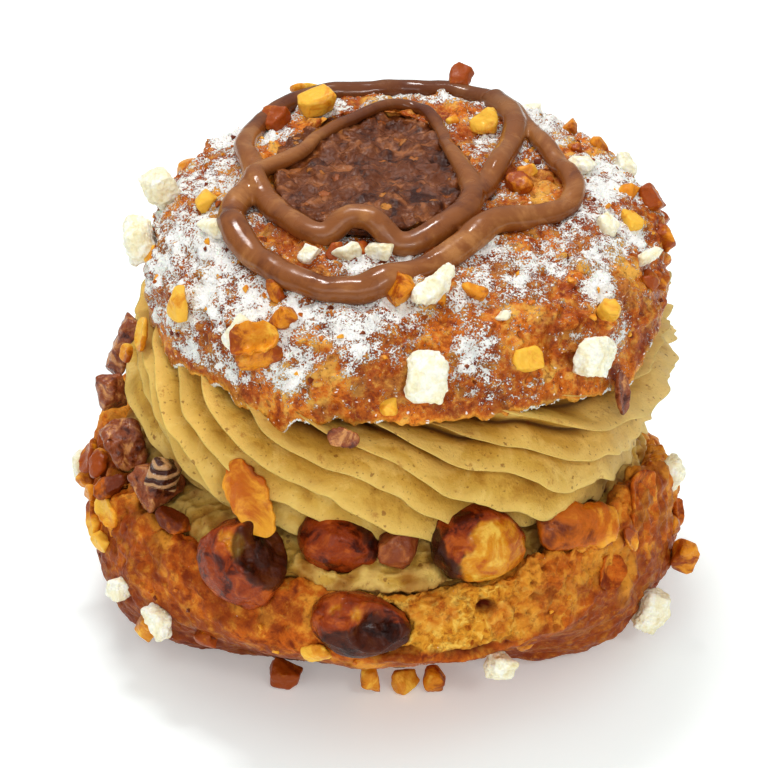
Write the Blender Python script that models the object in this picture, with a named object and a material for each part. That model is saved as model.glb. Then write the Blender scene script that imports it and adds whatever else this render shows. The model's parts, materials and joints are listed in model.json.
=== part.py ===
"""A Paris-Brest: a split choux bun round a twisted ring of praline cream.

The base holds a bed of cream and a piped rope of cream, and the lid sits on the rope.  The lid carries
a pool of praline and loops of piped chocolate.  Nuts, chocolate and lumps of sugar sit in seats of
their own.  Metres, +Z up, front at -Y, origin in the middle of the face that it rests on.
"""

import math
import random

import bmesh
import bpy
from mathutils import Vector, noise
from mathutils.bvhtree import BVHTree

MM = 0.001
GAP = 0.3 * MM  # clearance between pieces that touch

# Choux base: a shallow bowl with a torn rim
BASE_SIDES = 38
BASE_FOOT_RADIUS = 32 * MM
BASE_RADIUS = 46 * MM
BASE_RIM_HEIGHT = 30.3 * MM
BASE_RIM_LEAN = 1.6 * MM  # the rim climbs towards the back right
BASE_RIM_DIP = 2.6 * MM  # how far the rim is pressed down at the front
BASE_RIM_FLAP = 3.2 * MM  # torn edge that stands up at the front right
BASE_FLOOR_HEIGHT = 20 * MM
BASE_WALL = 5 * MM
BASE_LUMP = 1.1 * MM
BASE_OUTSIDE_ROWS = 8  # rows of the profile that are on the outside

# Bed of cream in the bowl, spilling over the rim at the front
BED_SIDES = 32
BED_RADIUS = 40.5 * MM
BED_SPILL = 3.4 * MM
BED_SAG = 2.2 * MM  # how far the spilling edge hangs down
BED_TOP = 31 * MM
BED_LUMP = 0.9 * MM
BED_PROFILE = [  # share of the radius, height
    (0.5, 17 * MM),
    (0.86, 19 * MM),
    (0.99, 25 * MM),
    (1.0, 27.6 * MM),
    (0.94, 29.8 * MM),
    (0.82, BED_TOP),
    (0.4, BED_TOP),
]

# Piped rope of cream
ROPE_CENTRE = Vector((3.4 * MM, 0, 42.3 * MM))
ROPE_RING_RADIUS = 23.6 * MM
ROPE_HALF_WIDTH = 16.6 * MM
ROPE_HALF_HEIGHT = 12.4 * MM
ROPE_SQUARENESS = 2.6  # of the section's lower half
ROPE_TOP_SQUARENESS = 2.15
ROPE_RIDGES = 17  # round the whole section
ROPE_RIDGE_DEPTH = 3.1 * MM
ROPE_RIDGE_LEAN = 0.9 * MM
ROPE_COLUMN_TURN = 7.2  # degrees between two columns of points, at most
ROPE_COLUMN_TWIST = 0.5  # ridges that the twist may run on between two columns
ROPE_STEPS = (0, 0.34, 0.68)  # where the points of one ridge lie, from crest to crest

# Choux lid
LID_CENTRE = Vector((3.6 * MM, 0, 0))
LID_SIDES = 40
LID_RADIUS = 39.2 * MM
LID_UNDER_HEIGHT = 51.6 * MM
LID_UNDER_SLOPE = 0.02  # rise to the right
LID_TOP_HEIGHT = 70.3 * MM
LID_TOP_SLOPE = 0.08  # rise to the back
LID_SQUARENESS = 4.3  # of the shoulder between rim and top
LID_RAGGED = 0.8 * MM  # unevenness of the rim's edge
LID_LUMP = 1.0 * MM
LID_ROWS = (0, 0.04, 0.16, 0.3, 0.42, 0.54, 0.66, 0.78, 0.9)  # from the rim's edge to the middle of the top

# Pool of praline in the lid's hollow
POOL_CENTRE = Vector((-2 * MM, 4 * MM, 70.4 * MM))
POOL_HALF_SIZE = Vector((14 * MM, 19 * MM, 4.5 * MM))
POOL_SWELL = 0.2  # height above the edge, as a share of the depth below it
POOL_SIDES = 18
POOL_ROWS = 8
POOL_LUMP = 0.6 * MM

# Piped chocolate: centre lines in plan, in millimetres
CHOCOLATE_SIDES = 6
CHOCOLATE_STEPS = 3  # points of a strand between two of its plan's
CHOCOLATE_FLATNESS = 0.86
CHOCOLATE_LIFT = 1.1 * MM  # centre line above what it lies on
CHOCOLATE_CLEARANCE = 2.2 * GAP  # the least that leaves one gap under a strand's flat facets
OUTER_LOOP = [
    (6, 33), (-2, 32), (-11, 30), (-18, 22), (-21, 12), (-19, 1), (-22, -7), (-21, -14), (-16, -21),
    (-9, -26), (-1, -26), (8, -21), (16, -13), (25, -8), (28, -2), (26, 6), (22, 17), (17, 27),
]
INNER_LOOP = [
    (-19, 1), (-13, 7), (-9, 14), (-3, 21), (4, 24), (8, 18), (10, 8), (13, -4), (10, -12), (3, -17),
    (-4, -14), (-10, -15), (-16, -7),
]
LINK = [(17, 27), (20, 17), (17, 4), (13, -5)]
OUTER_RADII = (2.6 * MM, 2.2 * MM)  # at the front and at the back
INNER_RADII = (2.5 * MM, 1.5 * MM)
LINK_RADII = (2.3 * MM, 2.5 * MM)

# Pieces in seats of their own: name, finish, form, middle and half size in millimetres, turn in degrees,
# and the pieces that they are seated in
FILLED_BASE = "base bed rope"
TOPPINGS = [
    ("hazelnut_right", "hazelnut", "nut", (13, -38.5, 32.3), (6.8, 5.8, 5.6), (10, 20, 15), FILLED_BASE),
    ("hazelnut_left", "hazelnut", "nut", (-20.4, -38.4, 29.4), (6.4, 5.6, 6.4), (0, 60, -30), FILLED_BASE),
    ("hazelnut_middle", "hazelnut", "nut", (-7, -36.3, 31.4), (5.8, 5, 4.4), (0, 10, -10), FILLED_BASE),
    ("hazelnut_front", "hazelnut", "nut", (-4, -45, 22.6), (6.8, 3.9, 4.2), (0, 8, -4), "base bed"),
    ("praline_piece", "dark", "chunk", (2.2, -39, 32.4), (3.1, 3, 3.1), (20, 30, 10), FILLED_BASE),
    ("almond_shard", "nut", "shard", (27.6, -31.4, 31.4), (7, 1.1, 3.6), (-20, 6, 40), FILLED_BASE),
    ("almond_slice", "nut", "shard", (-18.3, -35.4, 39.2), (2.9, 1, 4.9), (-24, -28, -24), "rope"),
    ("almond_wedge", "nut", "chunk", (-30.6, -28.2, 29.2), (3.2, 1.8, 1.6), (0, 10, -40), FILLED_BASE),
    ("chocolate_strip", "dark", "chunk", (-39.9, 4, 40.8), (1.8, 3, 6.2), (0, 22, 0), FILLED_BASE),
    ("chocolate_lump", "dark", "chunk", (-41.6, -3.4, 36.6), (2.4, 2.7, 3.3), (10, 0, 20), FILLED_BASE),
    ("chocolate_chunk_a", "dark", "chunk", (-39.2, -11.4, 31.8), (3.2, 3.7, 4.2), (0, -12, 20), FILLED_BASE),
    ("chocolate_chunk_b", "dark", "chunk", (-33.6, -21.6, 30.4), (4.4, 3.6, 3.6), (8, 10, 40), FILLED_BASE),
    ("chocolate_chunk_c", "dark", "chunk", (-31.4, -25.4, 35.6), (2.9, 2.4, 2.7), (0, 30, 45), "rope"),
    ("nougat_chip", "nut", "chunk", (-41, -17.4, 28.2), (2.5, 1.8, 2.1), (30, 0, 20), "base bed"),
    ("sugar_lid_front", "sugar", "chunk", (5.6, -38.6, 59.4), (3.5, 2, 3.8), (-20, 8, 0), "lid"),
    ("sugar_lid_right", "sugar", "chunk", (29.6, -29.8, 57.2), (3.2, 2.1, 3.8), (0, 14, 44), "lid"),
    ("sugar_lid_long", "sugar", "chunk", (7.2, -28.4, 68.2), (4.4, 1.8, 1.6), (25, -32, 22), "lid"),
    ("sugar_lid_low_left", "sugar", "chunk", (-36.4, -1.4, 61.4), (2.4, 3.4, 4.3), (0, -20, 0), "lid"),
    ("sugar_lid_high_left", "sugar", "chunk", (-33.4, 6.4, 66.4), (2.6, 3.4, 3.4), (0, -40, 10), "lid"),
    ("sugar_base_right", "sugar", "chunk", (40.6, -21.6, 8.6), (3, 2.6, 3.6), (0, 30, 20), "base"),
    ("sugar_base_front", "sugar", "chunk", (18.4, -42.6, 12), (2.8, 2, 3), (10, 20, 20), "base"),
    ("sugar_base_left", "sugar", "chunk", (-33.8, -32.6, 13.9), (2.8, 2, 2.8), (0, 0, -45), "base"),
    ("sugar_side_left", "sugar", "chunk", (-46.9, -2.4, 22.4), (2, 2.2, 2.9), (0, 0, 0), "base"),
    ("sugar_side_right", "sugar", "chunk", (44.9, -11.4, 27), (1.8, 2.2, 3.1), (0, -14, 0), "base"),
    ("nut_side_right", "nut", "chunk", (46.6, -14, 13.4), (2.2, 2, 3), (0, 20, 10), "base"),
    ("nut_lid_top", "nut", "chunk", (-10.2, 22.6, 73.1), (3.5, 2.8, 2.2), (0, -14, 10), "lid"),
    ("nut_lid_left", "nut", "chunk", (-29, -20.6, 61), (2.2, 1.8, 3.1), (0, 10, -50), "lid"),
]


def remove_old_objects():
    for old in list(bpy.data.objects):
        bpy.data.objects.remove(old, do_unlink=True)


def finish(name, colour, roughness):
    """A plain Principled material."""
    material = bpy.data.materials.new(name)
    material.use_nodes = True
    shader = material.node_tree.nodes["Principled BSDF"]
    shader.inputs["Base Color"].default_value = (*colour, 1)
    shader.inputs["Roughness"].default_value = roughness
    shader.inputs["Metallic"].default_value = 0
    return material


def add_object(name, mesh, material=None):
    piece = bpy.data.objects.new(name, mesh)
    bpy.context.scene.collection.objects.link(piece)
    if material:
        mesh.materials.append(material)
        mesh.shade_smooth()
        mesh.set_sharp_from_angle(angle=math.radians(40))
    return piece


def hide_guide(guide):
    """Guides and cutters shape other pieces and are not part of the object."""
    guide.hide_render = True
    guide.display_type = "WIRE"
    return guide


def lump(point, size, seed):
    """Smooth unevenness between -1 and 1, with bumps about one size across."""
    return noise.noise(point / size + Vector((seed, 3.1 * seed, 7.7 * seed)))


def blend(value, low, high):
    """0 below low, 1 above high, and smooth between."""
    share = min(max((value - low) / (high - low), 0), 1)
    return share * share * (3 - 2 * share)


def around(angle, middle, spread):
    """1 where the angle is at the middle, falling off to both sides; degrees."""
    turn = (math.degrees(angle) - middle + 180) % 360 - 180
    return math.exp(-(turn / spread) ** 2)


def power(value, exponent):
    """A power that keeps the sign."""
    return math.copysign(abs(value) ** exponent, value)


def skin_rings(name, rings):
    """A closed mesh through stacked rings, listed from the underside's middle outwards and over the top."""
    mesh_data = bmesh.new()
    rows = [[mesh_data.verts.new(point) for point in ring] for ring in rings]
    count = len(rows[0])
    for lower, upper in zip(rows, rows[1:]):
        for i in range(count):
            j = (i + 1) % count
            mesh_data.faces.new((lower[i], lower[j], upper[j], upper[i]))
    mesh_data.faces.new(list(reversed(rows[0])))
    mesh_data.faces.new(rows[-1])
    return to_mesh(name, mesh_data)


def to_mesh(name, mesh_data):
    """Triangles with their faces pointing out."""
    bmesh.ops.triangulate(mesh_data, faces=mesh_data.faces)
    bmesh.ops.recalc_face_normals(mesh_data, faces=mesh_data.faces)
    mesh = bpy.data.meshes.new(name)
    mesh_data.to_mesh(mesh)
    mesh_data.free()
    return mesh


def base_rim_height(angle):
    """The torn rim dips at the front and stands up at the front right."""
    lean = BASE_RIM_LEAN * (math.cos(angle) + math.sin(angle))
    dip = -BASE_RIM_DIP * around(angle, 268, 26)
    flap = BASE_RIM_FLAP * around(angle, 334, 16)
    ragged = 0.5 * MM * math.sin(7 * angle + 1) + 0.35 * MM * math.sin(13 * angle)
    return BASE_RIM_HEIGHT + lean + dip + flap + ragged


def base_profile(angle):
    """Radius and height from the foot, over the rim and down to the middle of the bowl."""
    rim = base_rim_height(angle)
    radius = BASE_RADIUS
    floor = BASE_FLOOR_HEIGHT
    tuck = around(angle, 268, 36)  # the front is drawn in underneath
    return [
        (BASE_FOOT_RADIUS - 3.5 * MM * tuck, 0),
        ((0.84 - 0.08 * tuck) * radius, (2.4 + 1 * tuck) * MM),
        ((0.95 - 0.05 * tuck) * radius, (7 + 1.5 * tuck) * MM),
        ((1 - 0.01 * tuck) * radius, 13 * MM),
        (radius, 19 * MM),
        (0.985 * radius, rim - 3.5 * MM),
        (0.965 * radius, rim - 0.7 * MM),
        (0.93 * radius, rim),
        (radius - BASE_WALL, rim - 1.2 * MM),
        (radius - 1.3 * BASE_WALL, floor + 3.5 * MM),
        (radius - 2.3 * BASE_WALL, floor),
    ]


def base_point(angle, radius, height, outside):
    direction = Vector((math.cos(angle), math.sin(angle), 0))
    place = direction * radius + Vector((0, 0, height))
    swell = lump(place, 15 * MM, 2.3) + 0.5 * lump(place, 7 * MM, 5.1)
    return place + direction * (BASE_LUMP * swell * outside)


def make_base(material):
    angles = [2 * math.pi * i / BASE_SIDES for i in range(BASE_SIDES)]
    profiles = [base_profile(angle) for angle in angles]
    rings = []
    for row in range(len(profiles[0])):
        outside = 0.6 if row == 0 else 1 if row < BASE_OUTSIDE_ROWS else 0.4
        rings.append([base_point(a, *profile[row], outside) for a, profile in zip(angles, profiles)])
    return add_object("choux_base", skin_rings("choux_base", rings), material)


def make_bed(material):
    """A lumpy disc of cream; the bowl cuts its underside."""
    rings = []
    for share, height in BED_PROFILE:
        ring = []
        for i in range(BED_SIDES):
            angle = 2 * math.pi * i / BED_SIDES
            direction = Vector((math.cos(angle), math.sin(angle), 0))
            spill = BED_SPILL * around(angle, 262, 24) if height > BASE_FLOOR_HEIGHT else 0
            place = direction * (share * BED_RADIUS + spill)
            swell = lump(place, 8 * MM, 4.2) * blend(share, 0.82, 0.9)
            sag = BED_SAG * around(angle, 262, 30) * blend(share, 0.86, 0.98)
            ring.append(place * (1 + 0.02 * swell) + Vector((0, 0, height + BED_LUMP * swell - sag)))
        rings.append(ring)
    return add_object("cream_bed", skin_rings("cream_bed", rings), material)


def rope_twist(angle):
    """How many ridges the rope has turned by: fast where it starts at the left, slower over the front."""
    turn = math.degrees(angle) % 360
    steady = 6 * turn / 360
    start = 6 * blend(turn, 186, 238)
    front = 3 * blend(turn, 230, 330)
    return -(steady + start + front)


def rope_section(angle, turn):
    """A point on the rope's section and its outward direction, in the plane through the axis."""
    squareness = ROPE_TOP_SQUARENESS if turn > 0 else ROPE_SQUARENESS
    reach = power(math.cos(turn), 2 / squareness)
    rise = power(math.sin(turn), 2 / squareness)
    uneven = 1 + 0.035 * math.sin(2 * angle + 1) + 0.02 * math.sin(5 * angle)
    radius = ROPE_RING_RADIUS + ROPE_HALF_WIDTH * reach * uneven
    height = ROPE_CENTRE.z + ROPE_HALF_HEIGHT * rise
    outward = Vector((math.cos(turn) / ROPE_HALF_WIDTH, math.sin(turn) / ROPE_HALF_HEIGHT)).normalized()
    return Vector((radius, height)), outward


def rope_point(angle, phase):
    """A point of the ridged surface; phase counts the ridges round the section."""
    turn = 2 * math.pi * phase / ROPE_RIDGES
    place, outward = rope_section(angle, turn)
    crest = 1 - abs(math.sin(math.pi * (phase - rope_twist(angle))))
    down = Vector((outward.y, -outward.x))
    depth = ROPE_RIDGE_DEPTH * (1 + 0.25 * math.sin(3 * angle + phase))
    place = place + outward * (depth * (crest - 0.55)) + down * (ROPE_RIDGE_LEAN * crest)
    direction = Vector((math.cos(angle), math.sin(angle), 0))
    point = ROPE_CENTRE + direction * place.x
    point.z = place.y
    return point


def lid_under(point):
    return LID_UNDER_HEIGHT + LID_UNDER_SLOPE * point.x


def rope_column(angle):
    """Points up the outside of the rope with their ridge numbers, from the bed to the lid's underside."""
    twist = rope_twist(angle)
    quarter = ROPE_RIDGES / 4
    column = []
    ridge = math.floor(-quarter - twist) - 1
    while ridge + twist < quarter + 1:
        for step in ROPE_STEPS:
            phase = ridge + step + twist
            if -0.92 * quarter < phase < 0.92 * quarter:
                point = rope_point(angle, phase)
                top = lid_under(point) - GAP
                if BED_TOP + GAP < point.z < top:
                    column.append((ridge + step, point))
        ridge += 1
    low, high = column[0][0] - 0.3, column[-1][0] + 0.3
    direction = Vector((math.cos(angle), math.sin(angle), 0))
    foot = ROPE_CENTRE + direction * (0.9 * (column[0][1] - ROPE_CENTRE).xy.length)
    foot.z = BED_TOP + GAP
    head = ROPE_CENTRE + direction * (0.93 * (column[-1][1] - ROPE_CENTRE).xy.length)
    head.z = lid_under(head) - GAP
    return [(low, foot)] + column + [(high, head)]


def stitch(mesh_data, left, right, shift):
    """Triangles between two columns, climbing both by ridge number so that the edges follow the ridges."""
    i = j = 0
    while i < len(left) - 1 or j < len(right) - 1:
        climb_left = j == len(right) - 1
        if i < len(left) - 1 and not climb_left:
            climb_left = left[i + 1][0] <= right[j + 1][0] + shift
        if climb_left:
            mesh_data.faces.new((left[i][1], right[j][1], left[i + 1][1]))
            i += 1
        else:
            mesh_data.faces.new((left[i][1], right[j][1], right[j + 1][1]))
            j += 1


def rope_angles():
    """Angles of the columns, closer together where the rope twists fast."""
    angles = [0.0]
    turn = 0.0
    while turn < 360:
        twisted = rope_twist(math.radians(turn)) - rope_twist(math.radians(angles[-1]))
        if turn - angles[-1] >= ROPE_COLUMN_TURN or abs(twisted) >= ROPE_COLUMN_TWIST:
            angles.append(turn)
        turn += 0.5
    return [math.radians(angle) for angle in angles]


def make_rope(material):
    mesh_data = bmesh.new()
    columns = []
    for angle in rope_angles():
        columns.append([(number, mesh_data.verts.new(point)) for number, point in rope_column(angle)])
    whole_twist = round(rope_twist(0) - rope_twist(2 * math.pi * (1 - 1e-9)))
    for i, left in enumerate(columns):
        last = i == len(columns) - 1
        stitch(mesh_data, left, columns[(i + 1) % len(columns)], whole_twist if last else 0)
    mesh_data.faces.new([column[0][1] for column in reversed(columns)])
    mesh_data.faces.new([column[-1][1] for column in columns])
    return add_object("praline_cream", to_mesh("praline_cream", mesh_data), material)


def lid_top(point):
    return LID_TOP_HEIGHT + LID_TOP_SLOPE * point.y


def lid_point(angle, share):
    """The crust from the rim's edge, share 0, over the shoulder to the middle of the top, share 1."""
    squareness = LID_SQUARENESS + around(angle, 90, 60) - around(angle, 265, 60)
    turn = share * math.pi / 2
    reach = math.cos(turn) ** (2 / squareness)
    rise = math.sin(turn) ** (2 / squareness)
    direction = Vector((math.cos(angle), math.sin(angle), 0))
    radius = LID_RADIUS - 1.4 * MM * around(angle, 300, 26)
    place = LID_CENTRE + direction * (radius * reach)
    ragged = 0.5 * math.sin(9 * angle) + 0.4 * math.sin(17 * angle + 2)
    place += direction * (LID_RAGGED * ragged * (1 - blend(share, 0, 0.25)))
    bottom = lid_under(place)
    place.z = bottom + (lid_top(place) - bottom) * rise
    swell = lump(place, 13 * MM, 8.4) + 0.6 * lump(place, 6 * MM, 1.7)
    outward = (direction * reach + Vector((0, 0, rise))).normalized()
    return place + outward * (LID_LUMP * swell * blend(share, 0, 0.12))


def make_lid(material):
    angles = [2 * math.pi * i / LID_SIDES for i in range(LID_SIDES)]
    rings = []
    for radius in (0.5 * LID_RADIUS, 0.93 * LID_RADIUS):
        ring = [LID_CENTRE + Vector((math.cos(a), math.sin(a), 0)) * radius for a in angles]
        rings.append([Vector((p.x, p.y, lid_under(p))) for p in ring])
    for share in LID_ROWS:
        rings.append([lid_point(angle, share) for angle in angles])
    return add_object("choux_lid", skin_rings("choux_lid", rings), material)


def ball(name, centre, half_size, segments, rings, swell=1.0):
    """An oval ball; swell squashes its upper half."""
    mesh_data = bmesh.new()
    bmesh.ops.create_uvsphere(mesh_data, u_segments=segments, v_segments=rings, radius=1)
    for vertex in mesh_data.verts:
        x, y, z = vertex.co
        rise = swell if z > 0 else 1
        vertex.co = centre + Vector((x * half_size.x, y * half_size.y, z * half_size.z * rise))
    return to_mesh(name, mesh_data)


def make_pool(lid, material):
    """The praline fills a hollow of the same shape in the lid, a gap larger all round."""
    rim = Vector((GAP, GAP, GAP))
    mesh = ball("hollow", POOL_CENTRE, POOL_HALF_SIZE + rim, POOL_SIDES, POOL_ROWS)
    cut(lid, hide_guide(add_object("hollow", mesh)))
    mesh = ball("praline_centre", POOL_CENTRE, POOL_HALF_SIZE, POOL_SIDES, POOL_ROWS, POOL_SWELL)
    for vertex in mesh.vertices:
        if vertex.co.z > POOL_CENTRE.z:
            vertex.co.z += POOL_LUMP * abs(lump(vertex.co, 5 * MM, 6.6))
    return add_object("praline_centre", mesh, material)


def smooth_path(points, closed, steps):
    """A smooth line through the points: Catmull-Rom."""
    count = len(points)
    path = []
    for i in range(count if closed else count - 1):
        if closed:
            before, start, end, after = (points[(i + k) % count] for k in (-1, 0, 1, 2))
        else:
            before, start, end, after = (points[min(max(i + k, 0), count - 1)] for k in (-1, 0, 1, 2))
        slope = end - before
        bend = 2 * before - 5 * start + 4 * end - after
        curl = 3 * start - before - 3 * end + after
        for step in range(steps):
            t = step / steps
            path.append(start + 0.5 * (slope * t + bend * t ** 2 + curl * t ** 3))
    return path if closed else path + [points[-1]]


def surface_tree(piece):
    bpy.context.view_layer.update()
    return BVHTree.FromObject(piece, bpy.context.evaluated_depsgraph_get())


def drop(trees, point):
    """Height of the highest surface under a point."""
    start = Vector((point.x, point.y, 0.1))
    hits = [tree.ray_cast(start, Vector((0, 0, -1)))[0] for tree in trees]
    return max(hit.z for hit in hits if hit)


def strand_ring(point, side, radius, trees):
    """Corners of a strand's section, none of them closer to what it lies on than the clearance."""
    corners = []
    for k in range(CHOCOLATE_SIDES):
        turn = 2 * math.pi * (k + 0.5) / CHOCOLATE_SIDES - math.pi / 2
        offset = side * math.cos(turn) + Vector((0, 0, CHOCOLATE_FLATNESS * math.sin(turn)))
        corner = point + offset * radius
        corner.z = max(corner.z, drop(trees, corner) + CHOCOLATE_CLEARANCE)
        corners.append(corner)
    return corners


def piped_strand(name, plan, closed, radii, trees):
    """A soft strand laid along a plan in millimetres, its underside moulded to what it lies on."""
    front_radius, back_radius = radii
    path = smooth_path([Vector((x * MM, y * MM, 0)) for x, y in plan], closed, CHOCOLATE_STEPS)
    mesh_data = bmesh.new()
    rows = []
    for i, point in enumerate(path):
        ahead = path[(i + 1) % len(path)] if closed else path[min(i + 1, len(path) - 1)]
        behind = path[i - 1] if closed else path[max(i - 1, 0)]
        along = (ahead - behind).xy.normalized()
        side = Vector((-along.y, along.x, 0))
        radius = front_radius + (back_radius - front_radius) * blend(point.y, -8 * MM, 14 * MM)
        radius *= 1 + 0.1 * lump(point, 9 * MM, 9.9)
        point.z = drop(trees, point) + CHOCOLATE_LIFT * radius / front_radius
        rows.append([mesh_data.verts.new(corner) for corner in strand_ring(point, side, radius, trees)])
    for near, far in zip(rows, rows[1:] + rows[:1] if closed else rows[1:]):
        for k in range(CHOCOLATE_SIDES):
            following = (k + 1) % CHOCOLATE_SIDES
            mesh_data.faces.new((near[k], near[following], far[following], far[k]))
    if not closed:
        mesh_data.faces.new(rows[0])
        mesh_data.faces.new(list(reversed(rows[-1])))
    return add_object(name, to_mesh(name, mesh_data))


def make_chocolate(lid, pool, material):
    """Two closed loops and a link between them, run together."""
    trees = [surface_tree(lid), surface_tree(pool)]
    chocolate = piped_strand("chocolate_piping", OUTER_LOOP, True, OUTER_RADII, trees)
    chocolate.data.materials.append(material)
    inner = piped_strand("inner_loop", INNER_LOOP, True, INNER_RADII, trees)
    link = piped_strand("link", LINK, False, LINK_RADII, trees)
    for strand in (inner, link):
        join(chocolate, hide_guide(strand))
    cut(chocolate, inflated(pool))
    return chocolate


def nut_mesh(name, half_size):
    """A kernel: an oval ball with a blunt point at one end."""
    mesh = ball(name, Vector(), Vector((1, 1, 1)), 10, 7)
    for vertex in mesh.vertices:
        point = vertex.co
        tip = 1 + 0.16 * blend(point.x, 0.4, 1) - 0.1 * blend(-point.x, 0.5, 1)
        vertex.co = Vector((point.x * tip * half_size.x, point.y * half_size.y, point.z * half_size.z))
    return mesh


def chunk_mesh(name, half_size):
    """A broken lump: the hull of corners scattered near a rounded box."""
    scatter = random.Random(name)
    mesh_data = bmesh.new()
    for _ in range(22):
        corner = Vector([scatter.gauss(0, 1) for _ in range(3)]).normalized()
        corner = Vector([power(value, 0.6) for value in corner]) * scatter.uniform(0.86, 1.05)
        mesh_data.verts.new([value * half for value, half in zip(corner, half_size)])
    hull = bmesh.ops.convex_hull(mesh_data, input=mesh_data.verts)
    loose = set(hull["geom_interior"]) | set(hull["geom_unused"])
    bmesh.ops.delete(mesh_data, geom=[item for item in loose if isinstance(item, bmesh.types.BMVert)])
    return to_mesh(name, mesh_data)


def shard_mesh(name, half_size):
    """A flat broken flake with a slight bow."""
    scatter = random.Random(name)
    mesh_data = bmesh.new()
    long_way = max(half_size.x, half_size.z)
    rings = []
    for side in (-1, 1):
        ring = []
        for k in range(9):
            turn = 2 * math.pi * (k + 0.3 * scatter.random()) / 9
            reach = scatter.uniform(0.85, 1.02)
            x = half_size.x * power(math.cos(turn), 0.7) * reach
            z = half_size.z * power(math.sin(turn), 0.7) * reach
            if side > 0:
                x, z = rings[0][k].x * 0.93, rings[0][k].z * 0.93
            bow = 0.5 * half_size.y * ((x * x + z * z) / long_way ** 2)
            ring.append(Vector((x, side * half_size.y + bow, z)))
        rings.append(ring)
    return skin_rings(name, rings)


def make_toppings(materials, carriers):
    shapes = {"nut": nut_mesh, "chunk": chunk_mesh, "shard": shard_mesh}
    for name, finish_name, form, middle, half_size, turn, seated_in in TOPPINGS:
        mesh = shapes[form](name, Vector(half_size) * MM)
        piece = add_object(name, mesh, materials[finish_name])
        piece.location = Vector(middle) * MM
        piece.rotation_euler = [math.radians(angle) for angle in turn]
        seat = inflated(piece)
        for carrier in seated_in.split():
            cut(carriers[carrier], seat)


def cut(piece, cutter):
    boolean(piece, cutter, "DIFFERENCE")


def join(piece, other):
    boolean(piece, other, "UNION")


def boolean(piece, other, operation):
    modifier = piece.modifiers.new(operation.title(), "BOOLEAN")
    modifier.operation = operation
    modifier.solver = "EXACT"
    modifier.object = other


def inflated(piece):
    """A hidden copy of a piece's finished mesh with every face moved out by one gap."""
    bpy.context.view_layer.update()
    graph = bpy.context.evaluated_depsgraph_get()
    mesh_data = bmesh.new()
    mesh_data.from_mesh(piece.evaluated_get(graph).data)
    mesh_data.normal_update()
    moves = []
    for vertex in mesh_data.verts:
        share = min(vertex.normal.dot(face.normal) for face in vertex.link_faces)
        moves.append(vertex.normal * GAP / max(share, 0.45))
    for vertex, move in zip(mesh_data.verts, moves):
        vertex.co += move
    mesh = bpy.data.meshes.new(piece.name + "_seat")
    mesh_data.to_mesh(mesh)
    mesh_data.free()
    seat = hide_guide(add_object(mesh.name, mesh))
    seat.matrix_world = piece.matrix_world
    return seat


def main():
    remove_old_objects()
    crust = finish("crust", (0.42, 0.17, 0.045), 0.45)
    cream = finish("cream", (0.62, 0.43, 0.16), 0.5)
    praline = finish("praline", (0.16, 0.07, 0.03), 0.3)
    chocolate = finish("milk_chocolate", (0.26, 0.12, 0.05), 0.25)
    base = make_base(crust)
    bed = make_bed(cream)
    rope = make_rope(cream)
    lid = make_lid(crust)
    base_seat = inflated(base)
    cut(bed, base_seat)
    cut(rope, base_seat)
    pool = make_pool(lid, praline)
    make_chocolate(lid, pool, chocolate)
    materials = {
        "hazelnut": finish("hazelnut", (0.33, 0.1, 0.03), 0.25),
        "nut": finish("roasted_nut", (0.62, 0.27, 0.05), 0.35),
        "dark": finish("dark_chocolate", (0.1, 0.045, 0.03), 0.4),
        "sugar": finish("pearl_sugar", (0.8, 0.77, 0.62), 0.6),
    }
    make_toppings(materials, {"base": base, "bed": bed, "rope": rope, "lid": lid})


main()
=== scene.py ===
import json
import math
import random

import bmesh
import bpy
import numpy as np
from mathutils import Matrix, Vector, noise
from mathutils.bvhtree import BVHTree

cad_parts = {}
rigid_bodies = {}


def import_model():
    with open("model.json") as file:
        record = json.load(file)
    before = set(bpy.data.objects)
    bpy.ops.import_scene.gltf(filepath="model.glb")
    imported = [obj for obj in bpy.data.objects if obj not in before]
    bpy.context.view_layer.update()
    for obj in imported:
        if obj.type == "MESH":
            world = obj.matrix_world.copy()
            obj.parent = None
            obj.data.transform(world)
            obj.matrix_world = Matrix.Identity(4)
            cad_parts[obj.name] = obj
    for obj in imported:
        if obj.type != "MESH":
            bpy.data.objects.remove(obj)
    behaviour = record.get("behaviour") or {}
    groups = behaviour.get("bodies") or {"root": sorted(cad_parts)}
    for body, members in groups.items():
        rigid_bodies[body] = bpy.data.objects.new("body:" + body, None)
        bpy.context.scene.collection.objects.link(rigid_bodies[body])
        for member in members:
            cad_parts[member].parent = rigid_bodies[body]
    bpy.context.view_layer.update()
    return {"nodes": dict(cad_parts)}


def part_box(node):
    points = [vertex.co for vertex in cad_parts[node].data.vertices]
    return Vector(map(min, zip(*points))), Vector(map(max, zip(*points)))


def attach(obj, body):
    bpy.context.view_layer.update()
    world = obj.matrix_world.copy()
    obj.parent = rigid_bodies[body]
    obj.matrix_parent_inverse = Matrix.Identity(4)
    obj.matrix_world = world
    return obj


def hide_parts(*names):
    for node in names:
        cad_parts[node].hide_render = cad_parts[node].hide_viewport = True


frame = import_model()
mm = 0.001
print("frame loaded:", len(frame["nodes"]), "solids")


# small helpers for meshes

def rgb(r, g, b):  # a colour as a paint chart gives it, 0 to 255
    return tuple(((c / 255 + 0.055) / 1.055) ** 2.4 for c in (r, g, b)) + (1.0,)


def newPiece(name, mesh):
    piece = bpy.data.objects.new(name, mesh)
    bpy.context.scene.collection.objects.link(piece)
    return piece


def corners(mesh):
    flat = np.empty(len(mesh.vertices) * 3, np.float32)
    mesh.vertices.foreach_get("co", flat)
    return flat.reshape(-1, 3).astype(float)


def outward(mesh):
    flat = np.empty(len(mesh.vertices) * 3, np.float32)
    mesh.vertices.foreach_get("normal", flat)
    return flat.reshape(-1, 3).astype(float)


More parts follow.
